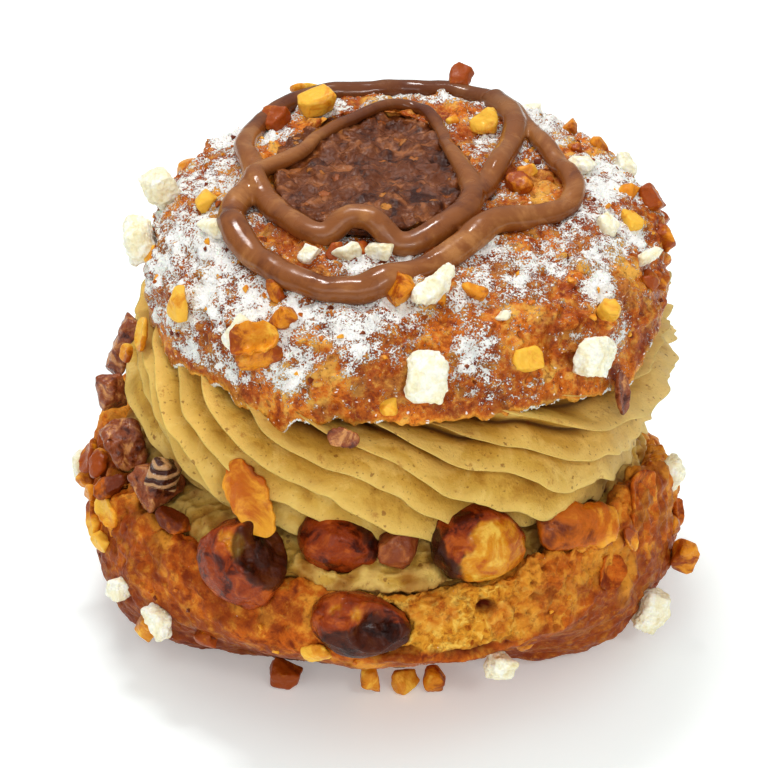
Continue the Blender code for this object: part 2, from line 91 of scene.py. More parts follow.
def moveTo(mesh, places):
    mesh.vertices.foreach_set("co", places.astype(np.float32).ravel())
    mesh.update()


def paint(mesh, name, values):  # a mask kept on the points, for materials and scatters
    mask = mesh.attributes.get(name) or mesh.attributes.new(name, "FLOAT", "POINT")
    mask.data.foreach_set("value", np.clip(values, 0, 1).astype(np.float32))


def bumps(places, size, seed=0.0, octaves=1):  # smooth unevenness, -1 to 1, about one size across
    spots = (places / size + (seed, 3.1 * seed, 7.7 * seed)).tolist()
    if octaves == 1:
        return np.array([noise.noise(spot) for spot in spots])
    return np.array([noise.fractal(spot, 1.0, 2.0, octaves) for spot in spots])


def pits(places, size, seed=0.0):  # distance to the nearest of scattered spots, 0 at a spot
    spots = (places / size + (seed, 2.3 * seed, 5.9 * seed)).tolist()
    return np.array([noise.voronoi(spot)[0][0] for spot in spots])


def plates(places, size, seed=0.0):  # 0 on the seams between scattered plates, rising towards their middles
    spots = (places / size + (seed, 4.3 * seed, 6.1 * seed)).tolist()
    return np.array([found[1] - found[0] for found in (noise.voronoi(spot)[0] for spot in spots)])


def soft(values, low, high):  # 0 below low, 1 above high, smooth between
    share = np.clip((values - low) / (high - low), 0, 1)
    return share * share * (3 - 2 * share)


def facing(places, middle, spread):  # 1 where the angle round the pastry is at the middle, in degrees
    turn = (np.degrees(np.arctan2(places[:, 1], places[:, 0])) - middle + 180) % 360 - 180
    return np.exp(-(turn / spread) ** 2)


def bake(piece):  # modifiers become plain mesh
    bpy.context.view_layer.update()
    graph = bpy.context.evaluated_depsgraph_get()
    mesh = bpy.data.meshes.new_from_object(piece.evaluated_get(graph), depsgraph=graph)
    piece.modifiers.clear()
    piece.data = mesh
    return piece


def skinned(piece, voxel, rounds):  # one even skin round everything in the piece
    remesh = piece.modifiers.new("skin", "REMESH")
    remesh.mode = "VOXEL"
    remesh.voxel_size = voxel
    smooth = piece.modifiers.new("smooth", "SMOOTH")
    smooth.iterations = rounds
    bake(piece)
    piece.data.shade_smooth()
    return piece


def fineCopy(node, name, voxel, rounds):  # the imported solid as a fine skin, ready to be worked
    mesh = frame["nodes"][node].data.copy()
    mesh.materials.clear()
    work = bmesh.new()
    work.from_mesh(mesh)
    bmesh.ops.remove_doubles(work, verts=work.verts, dist=1e-6)
    work.to_mesh(mesh)
    work.free()
    return skinned(newPiece(name, mesh), voxel, rounds)


def surfaceOf(*pieces):
    graph = bpy.context.evaluated_depsgraph_get()
    return [BVHTree.FromObject(piece, graph) for piece in pieces]


def hitFrom(trees, start, direction):  # nearest point and normal along a ray
    found = [tree.ray_cast(Vector(start), Vector(direction)) for tree in trees]
    found = [hit for hit in found if hit[0]]
    return min(found, key=lambda hit: hit[3])[:2] if found else (None, None)


def finishPiece(piece, material, slot, *nodes):
    piece.data.materials.clear()
    piece.data.materials.append(material)
    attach(piece, "root")
    if nodes:
        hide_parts(*nodes)
    return piece


# small helpers for node trees

def put(tree, kind, inputs=None, **settings):
    made = tree.nodes.new(kind)
    for name, value in settings.items():
        setattr(made, name, value)
    for key, value in (inputs or {}).items():
        if isinstance(value, bpy.types.NodeSocket):
            tree.links.new(value, made.inputs[key])
        else:
            made.inputs[key].default_value = value
    return made


def calc(tree, operation, a, b=0.0, clamp=False):
    return put(tree, "ShaderNodeMath", {0: a, 1: b}, operation=operation, use_clamp=clamp).outputs[0]


def ramp(tree, value, low, high, start=0.0, end=1.0):  # smooth step between two levels
    inputs = {0: value, 1: low, 2: high, 3: start, 4: end}
    return put(tree, "ShaderNodeMapRange", inputs, interpolation_type="SMOOTHSTEP").outputs[0]


def mixed(tree, share, a, b, way="MIX"):
    inputs = {0: share, 6: a, 7: b}
    return put(tree, "ShaderNodeMix", inputs, data_type="RGBA", blend_type=way).outputs[2]


def fineNoise(tree, place, size, detail=3.0, roughness=0.55):
    inputs = {"Vector": place, "Scale": 1 / size, "Detail": detail, "Roughness": roughness}
    return put(tree, "ShaderNodeTexNoise", inputs).outputs[0]


def newGroup(name, inputs, outputs, kind="ShaderNodeTree"):
    group = bpy.data.node_groups.new(name, kind)
    for title, sort, start in inputs:
        socket = group.interface.new_socket(title, in_out="INPUT", socket_type=sort)
        if start is not None:
            socket.default_value = start
    for title, sort in outputs:
        group.interface.new_socket(title, in_out="OUTPUT", socket_type=sort)
    return group, group.nodes.new("NodeGroupInput").outputs, group.nodes.new("NodeGroupOutput").inputs


def use(tree, group, inputs):
    made = tree.nodes.new("ShaderNodeGroup")
    made.node_tree = group
    for key, value in inputs.items():
        if isinstance(value, bpy.types.NodeSocket):
            tree.links.new(value, made.inputs[key])
        else:
            made.inputs[key].default_value = value
    return made.outputs


def newMaterial(name, **constants):  # constants are set on the shader's own sockets
    material = bpy.data.materials.new(name)
    material.use_nodes = True
    shader = material.node_tree.nodes["Principled BSDF"]
    for title, value in constants.items():
        shader.inputs[title.replace("_", " ")].default_value = value
    return material, material.node_tree, shader


def wire(tree, shader, colour=None, roughness=None, height=None, depth=0.3 * mm, coat=None):
    if colour is not None:
        tree.links.new(colour, shader.inputs["Base Color"])
    if roughness is not None:
        tree.links.new(roughness, shader.inputs["Roughness"])
    if coat is not None:
        tree.links.new(coat, shader.inputs["Coat Weight"])
    if height is not None:
        relief = put(tree, "ShaderNodeBump", {"Height": height, "Distance": depth, "Strength": 1.0})
        tree.links.new(relief.outputs[0], shader.inputs["Normal"])


def here(tree):
    return put(tree, "ShaderNodeTexCoord").outputs["Object"]


def mask(tree, name):
    return put(tree, "ShaderNodeAttribute", attribute_name=name).outputs["Fac"]


# shader groups that several materials share

def makeDrift():  # patches of three tones that run into each other
    group, given, result = newGroup(
        "colour drift",
        [("Place", "NodeSocketVector", None), ("Low", "NodeSocketColor", (0, 0, 0, 1)),
         ("Middle", "NodeSocketColor", (0, 0, 0, 1)), ("High", "NodeSocketColor", (0, 0, 0, 1)),
         ("Size", "NodeSocketFloat", 0.006), ("Bias", "NodeSocketFloat", 0.0)],
        [("Colour", "NodeSocketColor"), ("Level", "NodeSocketFloat")])
    scale = calc(group, "DIVIDE", 1.0, given["Size"])
    broad = put(group, "ShaderNodeTexNoise",
                {"Vector": given["Place"], "Scale": scale, "Detail": 5.0, "Roughness": 0.62, "Distortion": 0.6})
    level = calc(group, "ADD", broad.outputs[0], given["Bias"])
    lower = mixed(group, ramp(group, level, 0.34, 0.5), given["Low"], given["Middle"])
    colour = mixed(group, ramp(group, level, 0.5, 0.66), lower, given["High"])
    group.links.new(colour, result["Colour"])
    group.links.new(level, result["Level"])
    return group


def makeSpecks():  # small uneven flecks, some of them missing
    group, given, result = newGroup(
        "specks",
        [("Place", "NodeSocketVector", None), ("Spacing", "NodeSocketFloat", 0.0015),
         ("Reach", "NodeSocketFloat", 0.2), ("Share", "NodeSocketFloat", 0.5)],
        [("Mask", "NodeSocketFloat"), ("Tone", "NodeSocketFloat")])
    scale = calc(group, "DIVIDE", 1.0, given["Spacing"])
    warp = put(group, "ShaderNodeTexNoise", {"Vector": given["Place"], "Scale": 2200.0, "Detail": 2.0})
    shift = put(group, "ShaderNodeVectorMath", {0: warp.outputs[1], "Scale": 0.0007}, operation="SCALE")
    place = put(group, "ShaderNodeVectorMath", {0: given["Place"], 1: shift.outputs[0]}, operation="ADD")
    cells = put(group, "ShaderNodeTexVoronoi", {"Vector": place.outputs[0], "Scale": scale})
    tone = put(group, "ShaderNodeSeparateColor", {0: cells.outputs["Color"]}).outputs
    reach = calc(group, "MULTIPLY", given["Reach"], calc(group, "ADD", tone[1], 0.35))
    spot = calc(group, "SUBTRACT", 1.0, ramp(group, calc(group, "SUBTRACT", cells.outputs["Distance"], reach),
                                            -0.03, 0.07))
    kept = calc(group, "LESS_THAN", tone[0], given["Share"])
    group.links.new(calc(group, "MULTIPLY", spot, kept), result["Mask"])
    group.links.new(tone[2], result["Tone"])
    return group


def makeDusting():  # icing sugar: clumps that break up into single grains at their edges
    group, given, result = newGroup(
        "icing sugar",
        [("Place", "NodeSocketVector", None), ("Amount", "NodeSocketFloat", 0.5),
         ("Grain", "NodeSocketFloat", 0.00035)],
        [("Mask", "NodeSocketFloat"), ("Height", "NodeSocketFloat")])
    scale = calc(group, "DIVIDE", 1.0, given["Grain"])
    grains = put(group, "ShaderNodeTexNoise",
                 {"Vector": given["Place"], "Scale": scale, "Detail": 2.0, "Roughness": 0.7})
    clumps = put(group, "ShaderNodeTexNoise",
                 {"Vector": given["Place"], "Scale": calc(group, "MULTIPLY", scale, 0.27), "Detail": 3.0})
    both = calc(group, "ADD", calc(group, "MULTIPLY", grains.outputs[0], 0.8),
                calc(group, "MULTIPLY", clumps.outputs[0], 0.2))
    level = calc(group, "SUBTRACT", calc(group, "ADD", both, given["Amount"]), 1.0)
    cover = ramp(group, level, -0.04, 0.035)
    group.links.new(cover, result["Mask"])
    group.links.new(calc(group, "MULTIPLY", cover, both), result["Height"])
    return group


def makePitting():  # fine relief of baked dough: grain with open pores
    group, given, result = newGroup(
        "pitting",
        [("Place", "NodeSocketVector", None), ("Size", "NodeSocketFloat", 0.001), ("Pores", "NodeSocketFloat", 0.5)],
        [("Height", "NodeSocketFloat"), ("Pore", "NodeSocketFloat")])
    scale = calc(group, "DIVIDE", 1.0, given["Size"])
    grain = put(group, "ShaderNodeTexNoise",
                {"Vector": given["Place"], "Scale": scale, "Detail": 5.0, "Roughness": 0.6})
    cells = put(group, "ShaderNodeTexVoronoi",
                {"Vector": given["Place"], "Scale": calc(group, "MULTIPLY", scale, 0.8)}, feature="SMOOTH_F1")
    pore = calc(group, "SUBTRACT", 1.0, ramp(group, cells.outputs["Distance"], 0.1, 0.34))
    pore = calc(group, "MULTIPLY", pore, given["Pores"])
    group.links.new(calc(group, "SUBTRACT", grain.outputs[0], pore), result["Height"])
    group.links.new(pore, result["Pore"])
    return group


drift, specks, dusting, pitting = makeDrift(), makeSpecks(), makeDusting(), makePitting()


# ---- baked choux: base and lid

bakedColours = {
    "dark": rgb(104, 36, 8),
    "base": (rgb(132, 52, 10), rgb(194, 98, 22), rgb(226, 154, 54)),   # browned (also the colour of painted shade), usual, pale
    "lid": (rgb(156, 62, 10), rgb(220, 120, 24), rgb(242, 184, 84)),
    "crumb": rgb(220, 154, 48),
    "crumbShade": rgb(176, 96, 20),
    "crumbLight": rgb(240, 196, 92),
    "icing": rgb(252, 251, 247),
}


def makeBakedMaterial(name, part, gloss):
    c = bakedColours
    brown, amber, gold = c[part]
    material, tree, shader = newMaterial(name, Specular_IOR_Level=0.08 + 0.12 * gloss)
    place = here(tree)
    baked = use(tree, drift, {"Place": place, "Low": brown, "Middle": amber, "High": gold,
                              "Size": 3.4 * mm, "Bias": calc(tree, "MULTIPLY", mask(tree, "pale"), 0.14)})
    # browned crust mixed with painted shade, by the same mask
    browned = mixed(tree, calc(tree, "MULTIPLY", mask(tree, "browned"), 0.7), baked["Colour"], brown)
    torn = use(tree, drift, {"Place": place, "Low": c["crumbShade"], "Middle": c["crumb"], "High": c["crumbLight"],
                             "Size": 1.7 * mm, "Bias": 0.02})
    colour = mixed(tree, mask(tree, "torn"), browned, torn["Colour"])
    mottle = fineNoise(tree, place, (1.7 - 0.8 * gloss) * mm, 5.0, 0.75)
    colour = mixed(tree, ramp(tree, mottle, 0.5, 0.68, 0, 0.35 + 0.3 * gloss), colour, gold)
    colour = mixed(tree, ramp(tree, mottle, 0.5, 0.34, 0, 0.4 + 0.3 * gloss), colour, c["dark"])
    relief = use(tree, pitting, {"Place": place, "Size": 0.8 * mm,
                                 "Pores": calc(tree, "MULTIPLY", mask(tree, "torn"), 0.8)})
    # painted shade in the open pores of the crumb
    colour = mixed(tree, calc(tree, "MULTIPLY", relief["Pore"], 0.38), colour, c["crumbShade"])
    # painted shade in cracks, holes and folds
    colour = mixed(tree, mask(tree, "crease"), colour, c["dark"])
    dust = use(tree, dusting, {"Place": place, "Amount": mask(tree, "icing"), "Grain": 0.3 * mm})
    stray = use(tree, specks, {"Place": place, "Spacing": 0.9 * mm, "Reach": 0.14, "Share": 0.3 * gloss ** 3})
    colour = mixed(tree, calc(tree, "MULTIPLY", stray["Mask"], 0.75), colour, c["icing"])
    colour = mixed(tree, dust["Mask"], colour, c["icing"])
    start = 0.58 - 0.36 * gloss
    rough = ramp(tree, fineNoise(tree, place, 1.6 * mm), 0.35, 0.65, start - 0.06, start + 0.14)
    rough = calc(tree, "MAXIMUM", rough, calc(tree, "MULTIPLY", dust["Mask"], 0.9))
    rough = calc(tree, "MAXIMUM", rough, calc(tree, "MULTIPLY", mask(tree, "torn"), 0.75))
    height = calc(tree, "ADD", calc(tree, "MULTIPLY", relief["Height"], 0.8), dust["Height"])
    rough = calc(tree, "SUBTRACT", rough, calc(tree, "MULTIPLY", mask(tree, "browned"), 0.16 * (1 - gloss)))
    wire(tree, shader, colour, rough, height, (0.2 + 0.2 * gloss) * mm)
    return material


crustMaterial = makeBakedMaterial("choux crust", "base", 0.3)

base = {
    "voxel": 0.44 * mm,
    "lump": 0.6 * mm,        # broad unevenness
    "wrinkle": 0.4 * mm,     # craggy folds of the crust
    "crumbRough": 0.55 * mm,
    "poreDepth": 0.75 * mm,
    "crumbFrom": (262, 300),     # degrees round from +X, where the crust is cut off and the crumb shows
    "crackHeight": 17.4 * mm,
    "crackFrom": (268, 294),
    "crackDepth": 2.2 * mm,
    "tuckIn": (208, 240),        # over which degrees the foot is drawn in under the crust, and let out again
    "tuckOut": (300, 326),
    "tuck": 7.4 * mm,
    "sag": 12.5 * mm,            # how much lower the rim is at the right
    "hole": (289, 24.0, 1.15),    # a burst bubble: degrees round, height and radius in millimetres
}


def between(angles, start, end, edge):  # 1 for angles between start and end, in degrees, soft at both sides
    return soft(angles, start - edge, start + edge) * (1 - soft(angles, end - edge, end + edge))


def makeBase():
    piece = fineCopy("choux_base", "chouxBase", base["voxel"], 6)
    mesh = piece.data
    places = corners(mesh)
    normals = outward(mesh)
    x, y, height = places.T
    angle = np.degrees(np.arctan2(y, x)) % 360
    radius = np.hypot(x, y)
    outside = soft(radius, 37 * mm, 42 * mm)
    foot = soft(height, 0.4 * mm, 3 * mm)
    broad = bumps(places, 6 * mm, 1.3, 2)
    folds = 1 - 2 * np.abs(bumps(places * (1, 1, 1.4), 4.2 * mm, 4.7, 3))
    patchy = bumps(places, 6 * mm, 2.2, 3)
    crumb = between(angle, *base["crumbFrom"], 7) * soft(height, 17 * mm, 18.4 * mm)
    crumb = np.maximum(crumb, 0.6 * between(angle, 296, 326, 6) * soft(height, 15 * mm, 21 * mm))
    crumb = soft(crumb + 0.5 * patchy, 0.42, 0.62) * outside
    holes = 1 - soft(pits(places * (1, 1, 1.25), 2.1 * mm, 3.3), 0.12, 0.42)
    holes *= soft(bumps(places, 5 * mm, 9.4), -0.15, 0.3)
    small = 1 - soft(pits(places * (1, 1, 1.25), 1.05 * mm, 5.3), 0.1, 0.45)
    sponge = 1 - 2 * np.abs(bumps(places, 1.9 * mm, 12.3, 3))
    crackLine = height - base["crackHeight"] - 1.3 * mm * bumps(places * (1, 1, 0.2), 7 * mm, 5.5, 2)
    inCrack = between(angle, *base["crackFrom"], 4) * soft(bumps(places, 4 * mm, 7.9), -0.5, 0.0)
    crack = np.exp(-(crackLine / (0.55 * mm)) ** 2) * inCrack * outside
    lip = np.exp(-((crackLine + 1.3 * mm) / (0.7 * mm)) ** 2) * inCrack * outside
    tornRight = between(angle, 316, 347, 6) * soft(height, 15 * mm, 21 * mm)
    sheets = np.abs(bumps(places * (1, 1, 0.28), 3.0 * mm, 6.6, 2))
    leftRough = between(angle, 180, 222, 8) * soft(height, 18 * mm, 23 * mm)
    holeAngle, holeHeight, holeRadius = base["hole"]
    holeSpot = Vector((0.0455 * math.cos(math.radians(holeAngle)), 0.0455 * math.sin(math.radians(holeAngle)),
                       holeHeight * mm))
    burst = np.exp(-(np.linalg.norm((places - holeSpot) * (0.8, 1, 1.25), axis=1) / (holeRadius * mm)) ** 4)
    move = base["lump"] * broad + base["wrinkle"] * folds * (1 - crumb)
    move += base["crumbRough"] * (sponge - 0.3) * (0.25 + 0.75 * crumb)
    move += (1.6 * mm * sheets - 0.5 * mm) * tornRight
    move += 1.2 * mm * bumps(places, 2.6 * mm, 15.5, 2) * leftRough
    move -= base["poreDepth"] * holes * (0.25 + 0.75 * crumb) * outside
    move -= 0.3 * mm * small * (0.2 + 0.8 * crumb) * outside
    move -= base["crackDepth"] * crack + 0.45 * mm * crumb + 2.2 * mm * burst
    move += 0.5 * mm * lip
    places = places + normals * (move * foot)[:, None]
    ragged = soft(places[:, 2], 25 * mm, 28 * mm)
    places[:, 2] += ragged * (1.1 * mm * bumps(places * (1, 1, 0), 2.4 * mm, 3.9, 3) - 0.2 * mm)
    sunkRim = facing(places, 14, 26) * soft(height, 6 * mm, 33 * mm) * soft(radius, 33 * mm, 40 * mm)
    places[:, 2] -= base["sag"] * sunkRim
    tuck = soft(angle, *base["tuckIn"]) * (1 - soft(angle, *base["tuckOut"])) * soft(radius, 12 * mm, 26 * mm)
    tuck *= 1 - soft(places[:, 2], 8 * mm, 18 * mm)
    places[:, :2] *= (1 - tuck * base["tuck"] / np.maximum(radius, 20 * mm))[:, None]
    places[:, 2] = np.maximum(places[:, 2], 0)
    moveTo(mesh, places)
    paint(mesh, "torn", crumb * (1 - 0.6 * soft(patchy, 0.1, 0.5)) * (1 - 0.75 * soft(angle, 289, 302)))
    leftFoot = between(angle, 186, 262, 10) * (1 - soft(height, 9 * mm, 18 * mm))
    # painted shade in the crack, the burst bubble and the pores, and over the lower left foot, deepest in its folds
    crease = np.maximum(1.1 * crack + 1.4 * burst, 0.45 * holes * (0.3 + 0.7 * crumb))
    paint(mesh, "crease", np.maximum(crease, leftFoot * (0.3 + 0.4 * soft(folds, 0.9, 0.2))))
    # real browning mixed with painted shade: the bottom and the lower left foot are darkened as painted shade; the side
    # patches, the crack lip and the noise are browned crust
    low = (1 - soft(height, 12 * mm, 20 * mm)) * (1 - 0.5 * between(angle, 262, 300, 8))
    browned = 0.8 * low + between(angle, 180, 250, 12) * 0.45 + between(angle, 300, 345, 9) * 0.6 + 0.5 * lip
    browned += 0.4 * leftFoot
    paint(mesh, "browned", soft(browned + 0.9 * bumps(places, 5 * mm, 6.1, 3), 0.1, 0.8) * (1 - 0.7 * crumb))
    fair = height / (30 * mm) + 0.7 * bumps(places, 6 * mm, 1.9, 2) - 0.35 * between(angle, 180, 250, 12)
    paint(mesh, "pale", soft(fair, 0.5, 1.1))
    flecks = between(angle, 274, 288, 3) * np.exp(-((height - 14.5 * mm) / (1.2 * mm)) ** 2)
    paint(mesh, "icing", np.maximum(0.46 * flecks, 0.3 * soft(bumps(places, 4 * mm, 2.7, 2), 0.25, 0.6)))
    few = between(angle, 178, 250, 8) + 0.25 + 0.3 * (1 - soft(height, 10 * mm, 16 * mm))
    paint(mesh, "crumbs", few * soft(patchy, -0.1, 0.5) * outside * soft(height, 3 * mm, 6 * mm))
    print("base:", len(mesh.polygons), "faces")
    return finishPiece(piece, crustMaterial, "choux_crust", "choux_base")


lid = {
    "voxel": 0.4 * mm,
    "lump": 0.7 * mm,
    "wrinkle": 0.45 * mm,
    "chips": 0.75 * mm,      # how far the nut chips under the glaze stand up
    "blister": 0.3 * mm,     # the tongues of its lower edge: where and how wide in degrees, how low in mm
    "fringe": 1.2 * mm,      # how ragged the lower edge is
    "tongues": [(247, 2.2, 2.6), (238, 4, 0.8), (262, 3, 0.6), (296, 6, 0.7), (312, 9, 2.0), (327, 6, 2.4)],
    "dusted": [              # where the icing sugar fell thickest: x, y and reach, in millimetres
        (-30, -8, 9), (-26, -18, 8), (-20, -26, 7), (-13, -30, 7), (-4, -30, 6), (2, -29, 5), (14, -24, 5),
        (20, -20, 6), (27, -15, 6), (34, -8, 6), (33, 2, 6), (35, 10, 6), (-27, 6, 8), (-22, 18, 8), (-14, 27, 7),
        (0, 33, 6), (12, 31, 6), (24, 24, 8), (-5, -20, 5), (3, -20, 4), (17, 14, 5), (12, -34, 4), (31, -22, 4),
    ],
}


def makeLid():
    piece = fineCopy("choux_lid", "chouxLid", lid["voxel"], 5)
    mesh = piece.data
    places = corners(mesh)
    normals = outward(mesh)
    x, y, height = places.T
    low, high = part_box("choux_lid")
    middle = (low + high) / 2
    radius = np.hypot(x - middle.x, y - middle.y)
    upper = soft(height, 52.4 * mm, 54.5 * mm)
    rim = soft(radius, 34 * mm, 37.5 * mm)
    broad = bumps(places, 7 * mm, 2.3, 2)
    folds = 1 - 2.2 * np.abs(bumps(places, 4.5 * mm, 6.2, 3))
    chips = soft(plates(places, 3.6 * mm, 4.1), 0.05, 0.4) * soft(bumps(places, 5 * mm, 11.3, 2), -0.1, 0.25)
    bits = soft(plates(places, 1.9 * mm, 8.1), 0.05, 0.45) * soft(bumps(places, 3 * mm, 14.3, 2), -0.05, 0.2)
    blisters = soft(0.6 - pits(places, 2.3 * mm, 1.1), 0.1, 0.45) * soft(bumps(places, 4 * mm, 13.7, 2), -0.15, 0.3)
    fine = bumps(places, 1.0 * mm, 3.3, 2)
    move = lid["lump"] * broad + lid["wrinkle"] * folds + lid["blister"] * blisters + lid["chips"] * (chips + 0.5 * bits)
    move += 0.13 * mm * fine - 0.75 * mm
    places = places + normals * (move * upper)[:, None]
    level = height - 0.02 * x                                   # the lid lies a little tilted
    edge = (1 - soft(level, 52.2 * mm, 55 * mm)) * rim
    teeth = bumps(places * (1, 1, 0), 3.4 * mm, 9.2, 3) + 0.5 * bumps(places * (1, 1, 0), 1.2 * mm, 4.4, 2)
    places[:, 2] -= edge * lid["fringe"] * (0.25 + teeth + 1.3 * bumps(places * (1, 1, 0), 11 * mm, 6.4))
    for turn, reach, drop in lid["tongues"]:
        near = edge * facing(places, turn, reach)
        places[:, 2] -= near * drop * mm
        places[:, :2] *= (1 + near * 0.3 * drop * mm / radius)[:, None]
    moveTo(mesh, places)
    normals = outward(mesh)
    fall = np.zeros(len(places))
    for spotX, spotY, reach in lid["dusted"]:
        fall = np.maximum(fall, np.exp(-(((x - spotX * mm) ** 2 + (y - spotY * mm) ** 2) / (reach * mm) ** 2)))
    patches = bumps(places, 5.0 * mm, 5.2, 3) + 0.7 * bumps(places, 1.2 * mm, 7.3, 2)
    facingUp = soft(normals[:, 2], -0.2, 0.8)
    icing = 0.26 + 0.25 * fall + 0.19 * patches + 0.1 * facingUp
    icing *= soft(height, 51.5 * mm, 54 * mm)
    fringe = (1 - soft(level, 51.9 * mm, 52.7 * mm)) * rim
    caught = fringe * (0.25 + 0.45 * soft(bumps(places, 2.8 * mm, 17.3, 2), -0.1, 0.25))
    paint(mesh, "icing", np.maximum(icing, caught))
    paint(mesh, "crumbs", (0.25 + 0.75 * soft(patches, -0.1, 0.5)) * soft(level, 53 * mm, 55 * mm))
    paint(mesh, "torn", 0.7 * fringe)
    # painted shade in the fold valleys and between the nut chips
    paint(mesh, "crease", 0.4 * soft(np.abs(bumps(places, 4.5 * mm, 6.2, 3)), 0.3, 0.7) + 0.25 * (1 - chips) * upper * 0.5)
    paint(mesh, "browned", soft(0.8 * bumps(places, 7 * mm, 3.6, 3) + 0.5 - 0.5 * fringe, 0.2, 0.75))
    paint(mesh, "pale", soft(0.8 * bumps(places, 6 * mm, 8.8, 2) + 0.3 * chips + 0.4 * bits + 0.3 * fringe, 0.1, 0.7))
    print("lid:", len(mesh.polygons), "faces")
    return finishPiece(piece, makeBakedMaterial("glazed crust", "lid", 1.0), "glazed_crust", "choux_lid")


# ---- cream

creamColours = {
    "shade": rgb(186, 138, 52),
    "cream": rgb(212, 170, 78),
    "light": rgb(232, 198, 114),
    "pale": rgb(236, 210, 148),
    "fleck": rgb(122, 58, 18),
    "smear": rgb(166, 98, 34),
    # the next two are painted shade colours for the grooves under the lips
    "deep": rgb(138, 86, 22),
    "gap": rgb(92, 50, 12),
    "caramel": rgb(160, 100, 32),
}


def makeCreamMaterial():
    c = creamColours
    material, tree, shader = newMaterial("praline cream", Specular_IOR_Level=0.15, Subsurface_Weight=0.15,
                                         Subsurface_Scale=0.8 * mm)
    shader.inputs["Subsurface Radius"].default_value = (1.0, 0.6, 0.25)
    place = here(tree)
    body = use(tree, drift, {"Place": place, "Low": c["shade"], "Middle": c["cream"], "High": c["light"],
                             "Size": 7 * mm, "Bias": 0.03})
    # painted highlight on the lips, then painted shade darkening down into the groove under each lip
    colour = mixed(tree, ramp(tree, mask(tree, "crest"), 0.62, 1.0, 0, 0.75), body["Colour"], c["light"])
    colour = mixed(tree, ramp(tree, mask(tree, "crest"), 0.36, 0.02, 0, 0.7), colour, c["deep"])
    colour = mixed(tree, ramp(tree, mask(tree, "crest"), 0.12, 0.0, 0, 0.85), colour, c["gap"])
    colour = mixed(tree, calc(tree, "MULTIPLY", mask(tree, "caramel"), 0.75), colour, c["caramel"])
    colour = mixed(tree, calc(tree, "MULTIPLY", mask(tree, "pale"), 0.6), colour, c["pale"])
    smearCloud = ramp(tree, fineNoise(tree, place, 3.6 * mm, 5.0, 0.75), 0.58, 0.7, 0, 0.55)
    colour = mixed(tree, smearCloud, colour, c["smear"])
    for spacing, reach, share, strength in ((1.7, 0.16, 0.3, 0.6), (0.9, 0.16, 0.35, 0.5), (0.5, 0.2, 0.4, 0.3)):
        flecks = use(tree, specks, {"Place": place, "Spacing": spacing * mm, "Reach": reach, "Share": share})
        colour = mixed(tree, calc(tree, "MULTIPLY", flecks["Mask"], strength), colour, c["fleck"])
    rough = ramp(tree, fineNoise(tree, place, 3 * mm), 0.3, 0.7, 0.38, 0.58)
    height = fineNoise(tree, place, 0.6 * mm, 4.0, 0.65)
    wire(tree, shader, colour, rough, height, 0.2 * mm)
    return material


creamMaterial = makeCreamMaterial()

swirl = {
    "ringRadius": 23.6 * mm,     # middle of the rope, from the pastry's axis
    "halfWidth": 16.6 * mm,
    "halfHeight": 12.4 * mm,
    "lowerSquareness": 2.6,
    "upperSquareness": 2.15,
    "ridges": 20,                # teeth of the piping nozzle
    "rows": (0, 0.02, 0.05, 0.1, 0.17, 0.26, 0.37, 0.49, 0.6, 0.7, 0.78, 0.84, 0.9, 0.96),  # points over one ridge
    "columnTurn": 0.9,           # degrees between two columns, at most
    "columnTwist": 0.06,        # ridges that the twist may run on between two columns
    "depth": 4.5 * mm,           # from a ridge's lip to the groove under it
    "groove": 0.8,               # where the groove lies between two lips
    "droop": 2.2 * mm,           # how far a lip hangs down over the groove
    "wander": 3.4 * mm,          # how far the lips stray from their even course
    "furrow": 0.35 * mm,         # fine lines along the ridges
    "tear": 2.2 * mm,            # broken tips of the lips
    "uneven": 0.6,               # how much one ridge stands out more than another
    "flare": 0.25,               # how much further the lips stand out at the right
    "narrow": 0.15,              # how much narrower the rope is there
    "firstTurn": 90,             # degrees, where the rope is closed
}


def swirlTwist(degrees):  # ridges the rope has turned by: fast where it starts at the left, slower over the front
    turn = degrees % 360
    steady = 6 * turn / 360
    start = 3 * soft(turn, 190, 244)
    front = 4 * soft(turn, 226, 330)
    return -(steady + start + front + 13 * np.floor(degrees / 360))


def swirlColumns():  # angles of the columns, closer together where the twist is fast
    turns = [float(swirl["firstTurn"])]
    turn = turns[0]
    while turn < swirl["firstTurn"] + 359.8:
        turn += 0.05
        twisted = abs(swirlTwist(turn) - swirlTwist(turns[-1]))
        if turn - turns[-1] >= swirl["columnTurn"] or twisted >= swirl["columnTwist"]:
            turns.append(turn)
    return np.array(turns)


def signedPower(values, exponent):
    return np.sign(values) * np.abs(values) ** exponent


